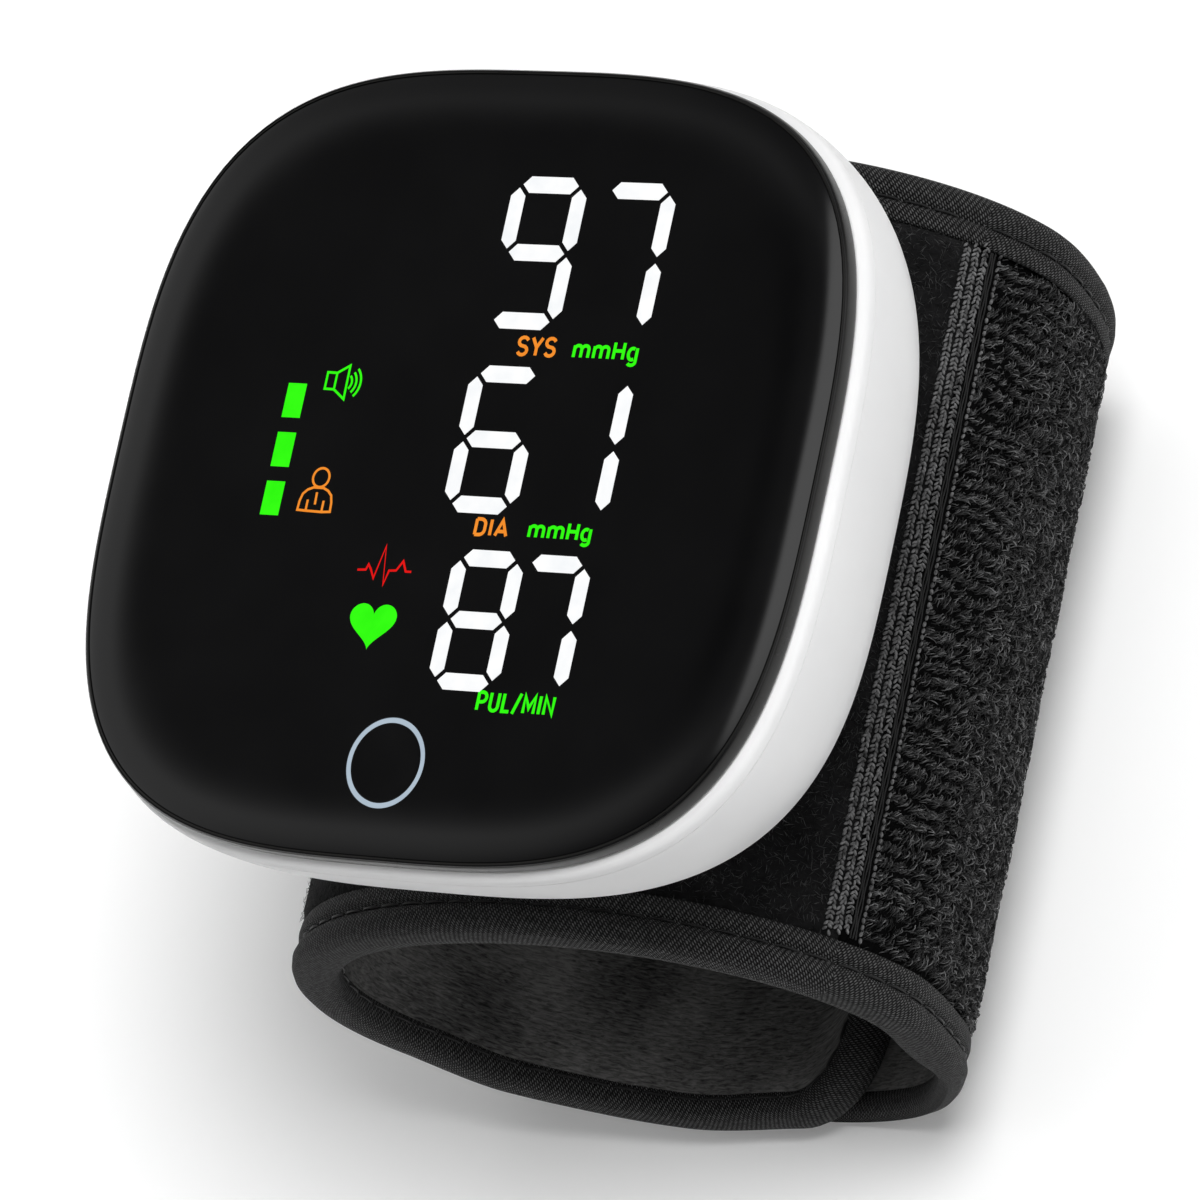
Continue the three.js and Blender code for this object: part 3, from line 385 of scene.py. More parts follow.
# soft boxes and flags of the studio: way, outer and inner cone in degrees, level added or share kept
boxes = {"leftBox": {"way": (-0.93, 0.05, 0.35), "cone": (58, 28), "level": 0.35},
         "topBox": {"way": (0.25, 0.16, 0.95), "cone": (27, 22), "level": 1.5},
         "rightBox": {"way": (0.92, 0.05, 0.35), "cone": (45, 20), "level": 0.56}}
flags = {"faceFlag": {"way": (-0.549, 0.174, 0.817), "cone": (16, 3), "keep": 0.16},
         "backFlag": {"way": (-0.35, 0.80, 0.45), "cone": (46, 20), "keep": 0.4},
         "frontFlag": {"way": (0.1, -0.85, 0.50), "cone": (70, 35), "keep": 0.4},
         "bevelFlag": {"way": (-0.34, 0.17, 0.925), "cone": (12, 5), "keep": 0.36}}
lamps = {"keyLamp": {"light": 1.95, "way": (0.47, 0.05, 0.88), "spread": 20},
         "fillLamp": {"light": 0.42, "way": (0.45, -0.55, 0.70), "spread": 24}}
half = stage["floor"] / 2
floorMesh = bpy.data.meshes.new("floor")
floorCorners = [(-half, -half, 0), (half, -half, 0), (half, half, 0), (-half, half, 0)]
floorMesh.from_pydata(floorCorners, [], [(0, 1, 2, 3)])
floor = bpy.data.objects.new("floor", floorMesh)
scene.collection.objects.link(floor)
floorLook = bpy.data.materials.new("paleFloor")
floorLook.use_nodes = True
tree = floorLook.node_tree
do = mathIn(tree)
# the floor is lifted to white where the camera, a gloss or a glass sees it, and keeps the shadow
seen = addNode(tree, "LightPath").outputs
lift = do("ADD", do("ADD", seen["Is Camera Ray"], seen["Is Glossy Ray"]), seen["Is Transmission Ray"])
lift = do("MINIMUM", lift, 1.0)
floorTone = mixed(tree, lift, (stage["floorBounce"],) * 3, (stage["floorWhite"],) * 3)
for key, value in {"Roughness": 1.0, "Specular IOR Level": 0.0, "Base Color": floorTone,
                   "Emission Color": (1, 1, 1, 1),
                   "Emission Strength": do("MULTIPLY", lift, stage["lift"])}.items():
    feed(tree, value, tree.nodes["Principled BSDF"].inputs[key])
floorMesh.materials.append(floorLook)

scene.world = bpy.data.worlds.new("studio")
scene.world.use_nodes = True
sky = scene.world.node_tree
do = mathIn(sky)
looking = addNode(sky, "TexCoord").outputs["Generated"]


def skyZone(zone):
    # one inside a cone about a way, nought outside it
    outer, inner = (math.cos(math.radians(angle)) for angle in zone["cone"])
    near = addNode(sky, "VectorMath", operation="DOT_PRODUCT", Vector=looking)
    near.inputs[1].default_value = tuple(unit(np.array(zone["way"])))
    return addNode(sky, "MapRange", interpolation_type="SMOOTHSTEP", Value=near.outputs["Value"],
                   From_Min=outer, From_Max=inner).outputs[0]


glow = stage["sky"]
for box in boxes.values():
    glow = do("ADD", glow, do("MULTIPLY", skyZone(box), box["level"]))
for flag in flags.values():
    glow = do("MULTIPLY", glow, do("SUBTRACT", 1.0, do("MULTIPLY", skyZone(flag), 1 - flag["keep"])))
for key, value in {"Color": (1, 1, 1, 1), "Strength": glow}.items():
    feed(sky, value, sky.nodes["Background"].inputs[key])

for name, lamp in lamps.items():
    sun = bpy.data.lights.new(name, "SUN")
    sun.energy, sun.angle = lamp["light"], math.radians(lamp["spread"])
    way = unit(np.array(lamp["way"]))
    side = unit(np.cross((0, 0, 1), way))
    made = placed(bpy.data.objects.new(name, sun), [side, np.cross(way, side), way])
    made.visible_glossy = False  # the soft boxes make the gloss

# housing

housing = {"width": 73.8, "height": 71.5, "power": 3.21, "pitch": 4.9, "yaw": -3.4, "at": (7.8, -4.7, 82.3),
           "turns": 256}
pitch, yaw = math.radians(housing["pitch"]), math.radians(housing["yaw"])
pitchTurn = [[1, 0, 0], [0, math.cos(pitch), -math.sin(pitch)], [0, math.sin(pitch), math.cos(pitch)]]
yawTurn = [[math.cos(yaw), -math.sin(yaw), 0], [math.sin(yaw), math.cos(yaw), 0], [0, 0, 1]]
faceTurn = np.array(pitchTurn) @ np.array(yawTurn)
turnAngles = wholeTurn(housing["turns"])


def fromFace(points):
    return points @ faceTurn.T + np.array(housing["at"])


def around(r, z, angle=turnAngles, centre=(0.0, 0.0)):
    # points at a radius and a polar angle about a centre on the face; z is a height, or gives one for x and y
    x, y = centre[0] + r * np.cos(angle), centre[1] + r * np.sin(angle)
    return fromFace(np.stack(np.broadcast_arrays(x, y, z(x, y) if callable(z) else z), -1))


def outlineRadius(angle, inset):
    # radius at a polar angle of |x/a|^n + |y/b|^n = 1, with a and b less by the inset
    n = housing["power"]
    a, b = housing["width"] / 2 - inset, housing["height"] / 2 - inset
    return (np.abs(np.cos(angle) / a) ** n + np.abs(np.sin(angle) / b) ** n) ** (-1 / n)


def halve(low, high, goesOn, steps=44):
    # closes in on the place where goesOn turns false
    for _ in range(steps):
        mid = (low + high) / 2
        on = goesOn(mid)
        low, high = np.where(on, mid, low), np.where(on, high, mid)
    return low, high


# limits of the searches, wider than any place that is asked for
search = {"outside": -2.0, "inside": 34.0, "reach": 90.0}


def insetAt(x, y):
    # how far inside the outline a point lies
    n, wide, tall = housing["power"], housing["width"] / 2, housing["height"] / 2
    low, high = halve(np.full(np.shape(x), search["outside"]), np.full(np.shape(x), search["inside"]),
                      lambda inset: np.abs(x / (wide - inset)) ** n + np.abs(y / (tall - inset)) ** n <= 1)
    return (low + high) / 2


def rayReach(centre, angle, inset):
    # distance from a centre to the outline along each angle
    x, y = np.cos(angle), np.sin(angle)
    low, high = halve(np.zeros_like(angle), np.full_like(angle, search["reach"]),
                      lambda r: insetAt(centre[0] + r * x, centre[1] + r * y) > inset)
    return (low + high) / 2


def lathe(profile, centre, segments=96):
    # a profile of radius and height turned about an axis square to the face
    r, z = np.array(profile, float).T[..., None]
    return around(r, z, wholeTurn(segments), centre)


def ringWall(profile):
    # an inset and height profile carried round the outline
    inset, z = np.array(profile, float).T[..., None]
    return around(outlineRadius(turnAngles, inset), z)


# front cover: rays from the button's hole to the edge, height from a quarter ellipse roll
cover = {"skirt": 1.5, "rise": 1.3, "roll": 7.0, "power": 2.0, "wall": 1.8, "foot": 0.3, "inside": 1.0,
         "hole": 4.03, "button": (-0.15, -27.2), "steps": 56, "crowd": 2.2, "edge": 0.45}
# inset and height of the groove, the convex side band, the foot and the inside
coverSide = [(0.44, 2.05), (0.40, 1.90), (0.30, 1.88), (0.22, 1.97), (0.15, 1.99), (0.08, 1.92), (0.03, 1.76),
             (0.0, 1.5), (0.0, 1.0), (0.02, 0.6), (0.07, 0.36), (0.14, cover["foot"]),
             (cover["wall"], cover["foot"]), (cover["wall"], cover["inside"])]


def coverHeight(x, y):
    # height = skirt + rise * (1 - (1 - inset / roll)^n)^(1/n)
    share = np.clip(insetAt(x, y) / cover["roll"], 0, 1)
    return cover["skirt"] + cover["rise"] * (1 - (1 - share) ** cover["power"]) ** (1 / cover["power"])


def frontCover():
    hole, centre = cover["hole"], cover["button"]
    share = 1 - (1 - np.linspace(0, 1, cover["steps"])) ** cover["crowd"]
    r = hole + (rayReach(centre, turnAngles, cover["edge"]) - hole) * share[:, None]
    side = [around(rayReach(centre, turnAngles, inset), z, centre=centre) for inset, z in coverSide]
    side.append(around(hole, cover["inside"], centre=centre))
    rings = np.concatenate([around(r, coverHeight, centre=centre), side])
    return sweep(rings, closed=True, sharp=50)


piece("front_window", frontCover(), "window", replaces=["front_cover"])

# button and its light ring
ringProfile = [(3.58, 0.35), (5.1, 0.35), (5.1, 0.85), (4.0, 0.85), (4.0, 2.76), (3.98, 2.79), (3.6, 2.79),
               (3.58, 2.76)]
piece("light_ring", sweep(lathe(ringProfile, cover["button"]), closed=True), "ring",
      replaces=["button_light_ring"])
dish = [(r, 2.745 + 0.034 * (r / 3.05) ** 2) for r in np.linspace(0.05, 3.3, 14)]
capProfile = dish + [(3.5, 2.785), (3.54, 2.78), (3.56, 2.75), (3.56, 0.9), (3.3, 0.8), (3.3, 0.05),
                     (4.45, 0.05), (4.45, -0.55), (1.5, -0.55), (1.5, -1.25), (0.05, -1.25)]
piece("button_cap", sweep(lathe(capProfile, cover["button"])), "button",
      body="button", replaces=["start_button"])

# satin side band of the window, and the white lip below it: inset and height
edgeProfile = [(0.12, 1.93), (0.04, 1.86), (0.0, 1.74), (-0.03, 1.5), (-0.03, 1.0), (-0.01, 0.6),
               (0.05, 0.34), (0.12, 0.28), (0.6, 0.28), (0.6, 1.93)]
lipProfile = [(2.6, 0.0), (0.16, 0.0), (0.06, -0.03), (0.0, -0.1), (-0.3, -0.24), (-0.5, -0.44),
              (-0.61, -0.7), (-0.66, -1.0), (-0.69, -1.38), (-0.69, -1.46), (1.4, -1.46), (1.4, -4.5),
              (2.8, -4.5), (2.8, -1.46)]
piece("window_edge", sweep(ringWall(edgeProfile), closed=True, sharp=50), "edge")
piece("white_lip", sweep(ringWall(lipProfile), closed=True, sharp=30), "case",
      replaces=["front_frame"])

# rear shell: a bowl whose side is one arc, ended where it meets the cuff
bowl = {"radius": 28.8, "sweep": 86.0, "wall": 1.8, "out": 0.7, "seam": -1.5, "back": 54.0, "rows": 40,
        "backRows": 24, "middle": 0.02}
oval = {"halfWide": 32.2, "halfHigh": 26.0, "sagHigh": 31.6, "axisZ": 31.0, "fit": 0.3}


def backHeight(x, lift):
    # the flat back, raised where the cuff's oval comes through it
    a, b = oval["halfWide"] + oval["fit"] + lift, oval["halfHigh"] + oval["fit"] + lift
    hump = oval["axisZ"] + b * np.sqrt(np.clip(1 - (x / a) ** 2, 0, 1))
    return np.maximum(bowl["back"] + lift, hump)


def bowlFace(lift):
    # inset = lift - out + R (1 - cos t), depth = R sin t, with t stopped where the back cuts it
    radius = bowl["radius"] - lift

    def at(t):
        r = outlineRadius(turnAngles, lift - bowl["out"] + radius * (1 - np.cos(t)))
        return around(r, bowl["seam"] - radius * np.sin(t))

    def above(t):
        p = at(t)
        return p[:, 2] > backHeight(p[:, 0], lift)

    first, furthest = np.zeros_like(turnAngles), np.full_like(turnAngles, math.radians(bowl["sweep"]))
    last, _ = halve(first, furthest, above, 40)
    side = np.stack([at(last * k) for k in np.linspace(0, 1, bowl["rows"])])
    centre = side[-1].mean(0)
    share = np.linspace(1, bowl["middle"], bowl["backRows"])[1:, None, None]
    floorRows = centre + (side[-1] - centre) * share
    floorRows[..., 2] = backHeight(floorRows[..., 0], lift)
    return np.concatenate([side, floorRows])


# screw wells with their bosses, and the slot of the charging socket
wells = {"at": (24.4, 23.7), "boss": 3.55, "well": 2.35, "seat": -11.9, "top": -7.7, "shank": 1.2,
         "sunk": 0.9, "under": -40.0, "shankEnd": -14.0}
socketSlot = {"x": (-45.0, -31.0), "y": 6.0, "z": -9.15, "wide": 9.6, "tall": 3.8}


def bossEnd(x, y):
    # just inside the bowl's outer face: cos t = 1 - (inset + out) / R, z = seam - R sin t
    share = np.clip((insetAt(x, y) + bowl["out"]) / bowl["radius"], 0, 1)
    return bowl["seam"] - bowl["radius"] * np.sqrt(1 - (1 - share) ** 2) + wells["sunk"]


def drum(at, radius, top, low):
    t = wholeTurn(48)
    return sweep(np.stack([around(radius, z, t, at) for z in (top, low)]))


def shaped(mesh, tools):
    # the mesh with each tool joined to it or cut from it
    made = bpy.data.objects.new("blank", mesh)
    scene.collection.objects.link(made)
    helpers = []
    for tool, operation in tools:
        helpers.append(bpy.data.objects.new("tool", tool))
        scene.collection.objects.link(helpers[-1])
        step = made.modifiers.new("step", "BOOLEAN")
        step.operation, step.object, step.solver = operation, helpers[-1], "EXACT"
    bpy.context.view_layer.update()
    result = bpy.data.meshes.new_from_object(made.evaluated_get(bpy.context.evaluated_depsgraph_get()))
    for helper in (*helpers, made):
        bpy.data.objects.remove(helper)
    result.set_sharp_from_angle(angle=math.radians(30))
    return result


wellsAt = [(a * wells["at"][0], b * wells["at"][1]) for a in (-1, 1) for b in (-1, 1)]
tools = [(drum(at, wells[part], top, low), operation)
         for part, top, low, operation in (("boss", wells["top"], bossEnd, "UNION"),
                                           ("well", wells["seat"], wells["under"], "DIFFERENCE"),
                                           ("shank", 0.0, wells["shankEnd"], "DIFFERENCE"))
         for at in wellsAt]
t, slotR = wholeTurn(40), socketSlot["tall"] / 2
slotHalf = (socketSlot["wide"] - socketSlot["tall"]) / 2
slotY = socketSlot["y"] + np.sign(np.cos(t)) * slotHalf + slotR * np.cos(t)
slotZ = socketSlot["z"] + slotR * np.sin(t)
slotRows = np.stack([np.stack(np.broadcast_arrays(x, slotY, slotZ), -1) for x in socketSlot["x"]])
tools.append((sweep(fromFace(slotRows)), "DIFFERENCE"))
shellRows = np.concatenate([bowlFace(bowl["wall"])[::-1], bowlFace(0.0)])
piece("white_shell", shaped(sweep(shellRows, sharp=30), tools), "case",
      replaces=["rear_shell"])
print("housing made")

# display

display = {"plane": 2.795, "top": 2.815, "bar": 1.5, "gap": 0.3, "icon": 0.22, "trace": 0.2, "word": 0.31,
           "space": 0.17}


def onWindow(name, points, quads, caps, look):
    mesh = makeMesh(fromFace(np.concatenate(points)), np.concatenate(quads), caps, sharp=20)
    piece(name, mesh, look)


def plates(name, outlines, look):
    # each outline is drawn on the window and given a thickness of a few hundredths
    points, quads, caps, start = [], [], [], 0
    for shape in outlines:
        shape = np.asarray(shape, float)
        n = len(shape)
        for z in (display["plane"], display["top"]):
            points.append(np.column_stack([shape, np.full(n, z)]))
        i = np.arange(n)
        quads.append(start + np.stack([i, (i + 1) % n, n + (i + 1) % n, n + i], 1))
        caps += [start + i[::-1], start + n + i]
        start += 2 * n
    onWindow(name, points, quads, caps, look)


def segments(x0, x1, y0, y1, lit):
    # seven pointed bars of a digit that fills the box
    t, g = display["bar"], display["gap"]
    left, rightX, top, low, mid = x0 + t / 2, x1 - t / 2, y1 - t / 2, y0 + t / 2, (y0 + y1) / 2
    ends = {"a": ((left, top), (rightX, top)), "g": ((left, mid), (rightX, mid)),
            "d": ((left, low), (rightX, low)), "f": ((left, mid), (left, top)),
            "b": ((rightX, mid), (rightX, top)), "e": ((left, low), (left, mid)),
            "c": ((rightX, low), (rightX, mid))}
    shapes = []
    for key in lit:
        p, q = (np.array(e) for e in ends[key])
        way = unit(q - p)
        side = np.array([-way[1], way[0]]) * t / 2
        p, q = p + way * g, q - way * g
        near, far = p + way * t / 2, q - way * t / 2
        shapes.append([p, near - side, far - side, q, far + side, near + side])
    return shapes


digitRows = [(0.0, 7.9, 11.93, 25.75, "abcdfg"), (9.36, 17.2, 11.75, 25.5, "abc"),
             (-0.13, 7.65, -4.69, 8.56, "acdefg"), (9.28, 17.06, -4.82, 8.39, "bc"),
             (2.3, 9.74, -20.4, -7.9, "abcdefg"), (9.45, 16.7, -20.44, -7.98, "abc")]
plates("lit_digits", [s for row in digitRows for s in segments(*row)], "litWhite")
bars = {"x": (-19.11, -17.14), "y": [(2.95, 6.08), (-1.53, 1.6), (-5.94, -2.86)]}
barLeft, barRight = bars["x"]
barShapes = [[(barLeft, a), (barRight, a), (barRight, b), (barLeft, b)] for a, b in bars["y"]]
plates("lit_bars", barShapes, "litGreen")
t = wholeTurn(72)
heartY = 13 * np.cos(t) - 5 * np.cos(2 * t) - 2 * np.cos(3 * t) - np.cos(4 * t)
plates("lit_heart", [np.stack([-4.71 + 2.45 * np.sin(t) ** 3, -14.97 + 4.1 / 29 * heartY], 1)], "litGreen")


def strokes(name, paths, width, look):
    # each path is a line of even width; a closed one has True beside it
    points, quads, caps, start = [], [], [], 0
    for path, closed in paths:
        path = np.asarray(path, float)
        path = path[np.append(True, np.linalg.norm(np.diff(path, axis=0), axis=1) > 1e-6)]
        ahead, behind = np.roll(path, -1, 0) - path, path - np.roll(path, 1, 0)
        if not closed:
            ahead[-1], behind[0] = behind[-1], ahead[0]
        ahead = unit(ahead)
        mean = unit(ahead + unit(behind))
        reach = np.minimum(1 / np.clip((mean * ahead).sum(1), 0.3, 1), 2.2)[:, None] * width / 2
        side = np.stack([-mean[:, 1], mean[:, 0]], 1) * reach
        flat = np.stack([path - side, path + side, path + side, path - side], 1)
        z = np.broadcast_to(np.repeat([display["plane"], display["top"]], 2), flat.shape[:2])
        points.append(np.concatenate([flat, z[..., None]], -1).reshape(-1, 3))
        quads.append(start + gridQuads(len(path), 4, closed, True)[0])
        if not closed:
            last = start + (len(path) - 1) * 4
            caps += [start + np.arange(4), last + np.arange(4)[::-1]]
        start += len(path) * 4
    onWindow(name, points, quads, caps, look)


def curl(cx, cy, rx, ry, a0, a1, count=10):
    t = np.radians(np.linspace(a0, a1, count))
    return list(zip(cx + rx * np.cos(t), cy + ry * np.sin(t)))


horn = [(-15.18, 7.22), (-14.18, 7.2), (-12.97, 7.92), (-12.93, 4.86), (-14.18, 5.7), (-15.18, 5.72)]
soundArcs = [(curl(-13.22, 6.41, r, r, -h, h, 24), False) for r, h in ((0.78, 48), (1.25, 46), (1.72, 46))]
strokes("lit_speaker", [(horn, True), ([(-14.18, 7.12), (-14.18, 5.78)], False), *soundArcs], display["icon"],
        "litGreen")
shoulders = [(-14.33, -5.36), (-15.23, -5.32), (-15.18, -4.5), (-15.0, -3.86), (-14.58, -3.46),
             (-13.98, -3.23), (-12.93, -3.24), (-12.38, -3.47), (-11.96, -3.87), (-11.78, -4.52),
             (-11.73, -5.34), (-12.63, -5.4)]
arms = [(-14.33, -4.36), (-14.33, -5.36), (-12.63, -5.4), (-12.63, -4.38)]
strokes("lit_person", [(curl(-13.43, -2.32, 0.86, 0.86, 0, 345, 32), True), (shoulders, False), (arms, False),
                       ([(-13.53, -3.66), (-13.48, -4.76)], False)], display["icon"], "litOrange")
trace = [(-7.47, -10.34), (-6.6, -10.29), (-6.41, -9.8), (-6.05, -10.25), (-5.62, -11.0), (-4.97, -8.07),
         (-4.47, -11.54), (-4.14, -10.25), (-3.41, -10.2), (-2.85, -9.34), (-2.39, -10.24), (-1.8, -10.24)]
strokes("lit_trace", [(trace, False)], display["trace"], "litRed")

# plain letters as lines in a box one unit high: their width, then the lines
stem = [(0.06, 0.04), (0.06, 0.96)]
letters = {
    "S": (0.56, [curl(0.28, 0.73, 0.24, 0.23, 20, 270) + curl(0.28, 0.27, 0.24, 0.23, 90, -160)]),
    "Y": (0.56, [[(0.02, 0.96), (0.28, 0.46), (0.54, 0.96)], [(0.28, 0.48), (0.28, 0.04)]]),
    "D": (0.58, [stem, [(0.06, 0.96), (0.26, 0.96)] + curl(0.26, 0.66, 0.26, 0.3, 80, 0)
                 + curl(0.26, 0.34, 0.26, 0.3, 0, -80) + [(0.26, 0.04), (0.06, 0.04)]]),
    "I": (0.14, [[(0.07, 0.04), (0.07, 0.96)]]),
    "A": (0.62, [[(0.03, 0.04), (0.31, 0.95), (0.59, 0.04)], [(0.12, 0.3), (0.5, 0.3)]]),
    "m": (0.86, [[(0.06, 0.04), (0.06, 0.7)],
                 *([(x - 0.19, 0.5)] + curl(x, 0.5, 0.18, 0.2, 150, 0) + [(x + 0.18, 0.04)]
                   for x in (0.25, 0.62))]),
    "H": (0.6, [stem, [(0.54, 0.04), (0.54, 0.96)], [(0.06, 0.5), (0.54, 0.5)]]),
    "g": (0.52, [curl(0.24, 0.36, 0.2, 0.32, 60, 300, 16),
                 [(0.46, 0.7), (0.46, -0.08)] + curl(0.26, -0.08, 0.2, 0.18, 0, -150)]),
    "P": (0.56, [stem, [(0.06, 0.96), (0.28, 0.96)] + curl(0.28, 0.71, 0.24, 0.25, 75, -75)
                 + [(0.28, 0.46), (0.06, 0.46)]]),
    "U": (0.58, [[(0.06, 0.96), (0.06, 0.3)] + curl(0.29, 0.28, 0.23, 0.24, 180, 360)
                 + [(0.52, 0.3), (0.52, 0.96)]]),
    "L": (0.48, [[(0.06, 0.96), (0.06, 0.05), (0.46, 0.05)]]),
    "/": (0.4, [[(0.02, -0.04), (0.38, 1.02)]]),
    "M": (0.72, [[(0.06, 0.04), (0.06, 0.94), (0.36, 0.3), (0.66, 0.94), (0.66, 0.04)]]),
    "N": (0.6, [[(0.06, 0.04), (0.06, 0.94), (0.54, 0.06), (0.54, 0.96)]]),
}


def legend(name, words, look):
    # plain unit words fitted to boxes on the window
    paths, space = [], display["space"]
    for text, x0, x1, low, high in words:
        wide = sum(letters[c][0] for c in text) + space * (len(text) - 1)
        pen = 0.0
        for c in text:
            for line in letters[c][1]:
                x, y = np.array(line).T
                x, y = x0 + (pen + x) / wide * (x1 - x0), low + y * (high - low)
                paths.append((np.stack([x, y], 1), False))
            pen += letters[c][0] + space
    strokes(name, paths, display["word"], look)


legend("lit_unit_orange", [("SYS", 4.12, 8.09, 9.58, 11.3), ("DIA", 3.76, 7.22, -6.62, -5.1)], "litOrange")
legend("lit_unit_green", [("mmHg", 9.96, 16.65, 9.6, 11.2), ("mmHg", 9.39, 15.87, -6.55, -5.05),
                          ("PUL/MIN", 7.9, 15.88, -22.03, -20.32)], "litGreen")
print("display made")

# cuff: turns are in degrees round its oval

strap = {"length": 76.1, "foldTurn": -15.0, "endTurn": 296.0, "splitTurn": 26.5, "flapSweep": 106.0,
         "flapTaper": 3.0, "corner": 10.0, "tuckTurns": (180.0, 236.0), "tuck": 3.3, "wrapIn": 4.2,
         "flapIn": 2.3, "thin": (-9, 4), "pull": 0.9, "pullFrom": (10, -14), "pullTo": (-60, -34),
         "under": 0.7, "underFrom": (196, 218), "underTo": (276, 252), "press": 0.8, "pressDeep": 3,
         "lift": 0.02}
# length of one degree round the cuff
arcMm = math.radians(1) * (oval["halfWide"] / 2 + oval["halfHigh"] / 4 + oval["sagHigh"] / 4)
wrapLength = (strap["endTurn"] - strap["foldTurn"]) * arcMm
flapLength = strap["flapSweep"] * arcMm
splitAt = (strap["splitTurn"] - strap["foldTurn"]) * arcMm


def cuffPoint(q, y, depth):
    # q runs from the fold, positive round the wrap and negative along the flap;
    # depth is in from the outer face
    turn = strap["foldTurn"] + q / arcMm
    tucked = np.where(q > 0, strap["tuck"] * smooth(*strap["tuckTurns"], turn), 0)
    t = np.radians(turn)
    d = depth + tucked + strap["pull"] * smooth(*strap["pullFrom"], turn) * smooth(*strap["pullTo"], turn)
    x = (oval["halfWide"] - d) * np.cos(t)
    z = oval["axisZ"] + (np.where(np.sin(t) > 0, oval["halfHigh"], oval["sagHigh"]) - d) * np.sin(t)
    floorAt = np.clip(depth, 0, strap["pressDeep"]) * strap["press"]  # pressed flat where it rests
    z = np.where(q < 0, np.maximum(z, floorAt + strap["lift"]), z)
    return np.stack(np.broadcast_arrays(x, y, z), -1)


def halfWidth(q):
    # the flap tapers, and the wrap stands a little wider where it turns under
    turn = strap["foldTurn"] + q / arcMm
    under = strap["under"] * smooth(*strap["underFrom"], turn) * smooth(*strap["underTo"], turn)
    return strap["length"] / 2 + np.where(q < 0, strap["flapTaper"] * q / flapLength, under)


def fromEdge(q, y):
    # distance inside the strap's outline, whose free ends have round corners
    r = strap["corner"]
    endAt = np.where(q > 0, wrapLength, flapLength)
    a, b = np.abs(q) - (endAt - r), np.abs(y) - (halfWidth(q) - r)
    return r - (np.hypot(np.maximum(a, 0), np.maximum(b, 0)) + np.minimum(np.maximum(a, b), 0))


def edgeHalf(q, inset):
    # half the strap's width, drawn inside its outline, round the corners of its free ends
    r = strap["corner"]
    past = np.abs(q) - (np.where(q > 0, wrapLength, flapLength) - r)
    rounded = halfWidth(q) - r + np.sqrt(np.maximum((r - inset) ** 2 - np.maximum(past, 0) ** 2, 0))
    return np.where(past > 0, rounded, halfWidth(q) - inset)


def insideDepth(q):
    # the thick wrap thins into the flap across the fold
    return strap["flapIn"] + (strap["wrapIn"] - strap["flapIn"]) * smooth(*strap["thin"], q)


cloth = {"inset": 1.7, "across": 72, "crowd": 1.25, "step": 1.2, "cornerRows": 14,
         "sink": 0.95, "crown": 4.6, "soft": 1.6}


def clothSheet(q, outDepth, inDepth):
    # a cloth of two faces over (q, share of the width), each a depth below the outer face
    v = np.linspace(-1, 1, cloth["across"])
    v = np.sign(v) * (1 - (1 - np.abs(v)) ** cloth["crowd"])  # closer rows near the bound edges
    qq, vv = np.meshgrid(q, v, indexing="ij")
    y = vv * edgeHalf(qq, cloth["inset"])
    outer, inner = cuffPoint(qq, y, outDepth(qq, y)), cuffPoint(qq, y, inDepth(qq, y))
    acrossMm = np.concatenate([v, v[::-1], v[:1]]) * strap["length"] / 2
    return sweep(np.concatenate([outer, inner[:, ::-1]], 1), along=q, across=acrossMm, sharp=60)


def freeEndStations(start, end):
    # even steps, closing up round the end's corners
    sign = 1 if end > start else -1
    flat = abs(end - start) - strap["corner"]
    turn = np.radians(np.linspace(0, 90, cloth["cornerRows"]))
    tip = flat + (strap["corner"] - cloth["inset"]) * np.sin(turn)
    return start + sign * np.concatenate([np.arange(0, flat, cloth["step"]), tip])


def crown(q, y):
    # full between the bindings, sunk under them
    return cloth["sink"] * (1 - smooth(cloth["crown"], cloth["crown"] + cloth["soft"], fromEdge(q, y)))


# soft unevenness of the cloths: its period, seed and height, and where it comes in from the edge
velvetRipple = {"period": 19.0, "seed": 3, "high": 0.12, "from": (5, 9), "most": 0.1}
loopRipple = {"period": 11.0, "seed": 5, "high": 0.16, "from": (5, 8)}


def ripple(q, y, kind):
    return wave(q, y, kind["period"], kind["seed"]) * kind["high"] * smooth(*kind["from"], fromEdge(q, y))


def velvetOut(q, y):
    return crown(q, y) + np.maximum(ripple(q, y, velvetRipple), -velvetRipple["most"])


def loopOut(q, y):
    # the ground of the loops lies deeper than the velvet
    sunk = pile["sunk"] * smooth(4.4, 5.2, fromEdge(q, y)) * smooth(splitAt - 1.6, splitAt - 2.6, q)
    return crown(q, y) + ripple(q, y, loopRipple) + sunk


def underTape(q, y):
    # the lining's edge goes in under the tape
    return 0.5 * (1 - smooth(1.9, 2.7, fromEdge(q, y)))


def level(depth):
    return lambda q, y: np.full_like(y, depth)


pile = {"row": 1.45, "tall": (0.3, 0.85), "long": (1.0, 2.0), "thick": (0.038, 0.056), "sunk": 0.75,
        "half": 33.0, "edge": 5.1, "scatter": 0.24, "clump": 2.6, "patch": 7.0, "lean": -44, "wander": 55,
        "loose": 16, "bent": 0.13, "wild": (17, 2), "uneven": 0.3, "bare": -0.3}
wrapQ = freeEndStations(splitAt, wrapLength)
flapQ = np.concatenate([np.linspace(splitAt, 0.4, 24), freeEndStations(-0.4, -flapLength)])
velvet = piece("velvet_panel", clothSheet(wrapQ, velvetOut, level(1.5)), "velvet",
               replaces=["cuff_outer_panel"])
loopCloth = piece("loop_cloth", clothSheet(flapQ, loopOut, level(1.6)), "loopGround", body=None,
                  replaces=["loop_panel", "flap_loop_panel"])
liningWrap = clothSheet(wrapQ, level(3.4), lambda q, y: 4.3 - underTape(q, y) + 0.12 * wave(q, y, 23.0, 8))
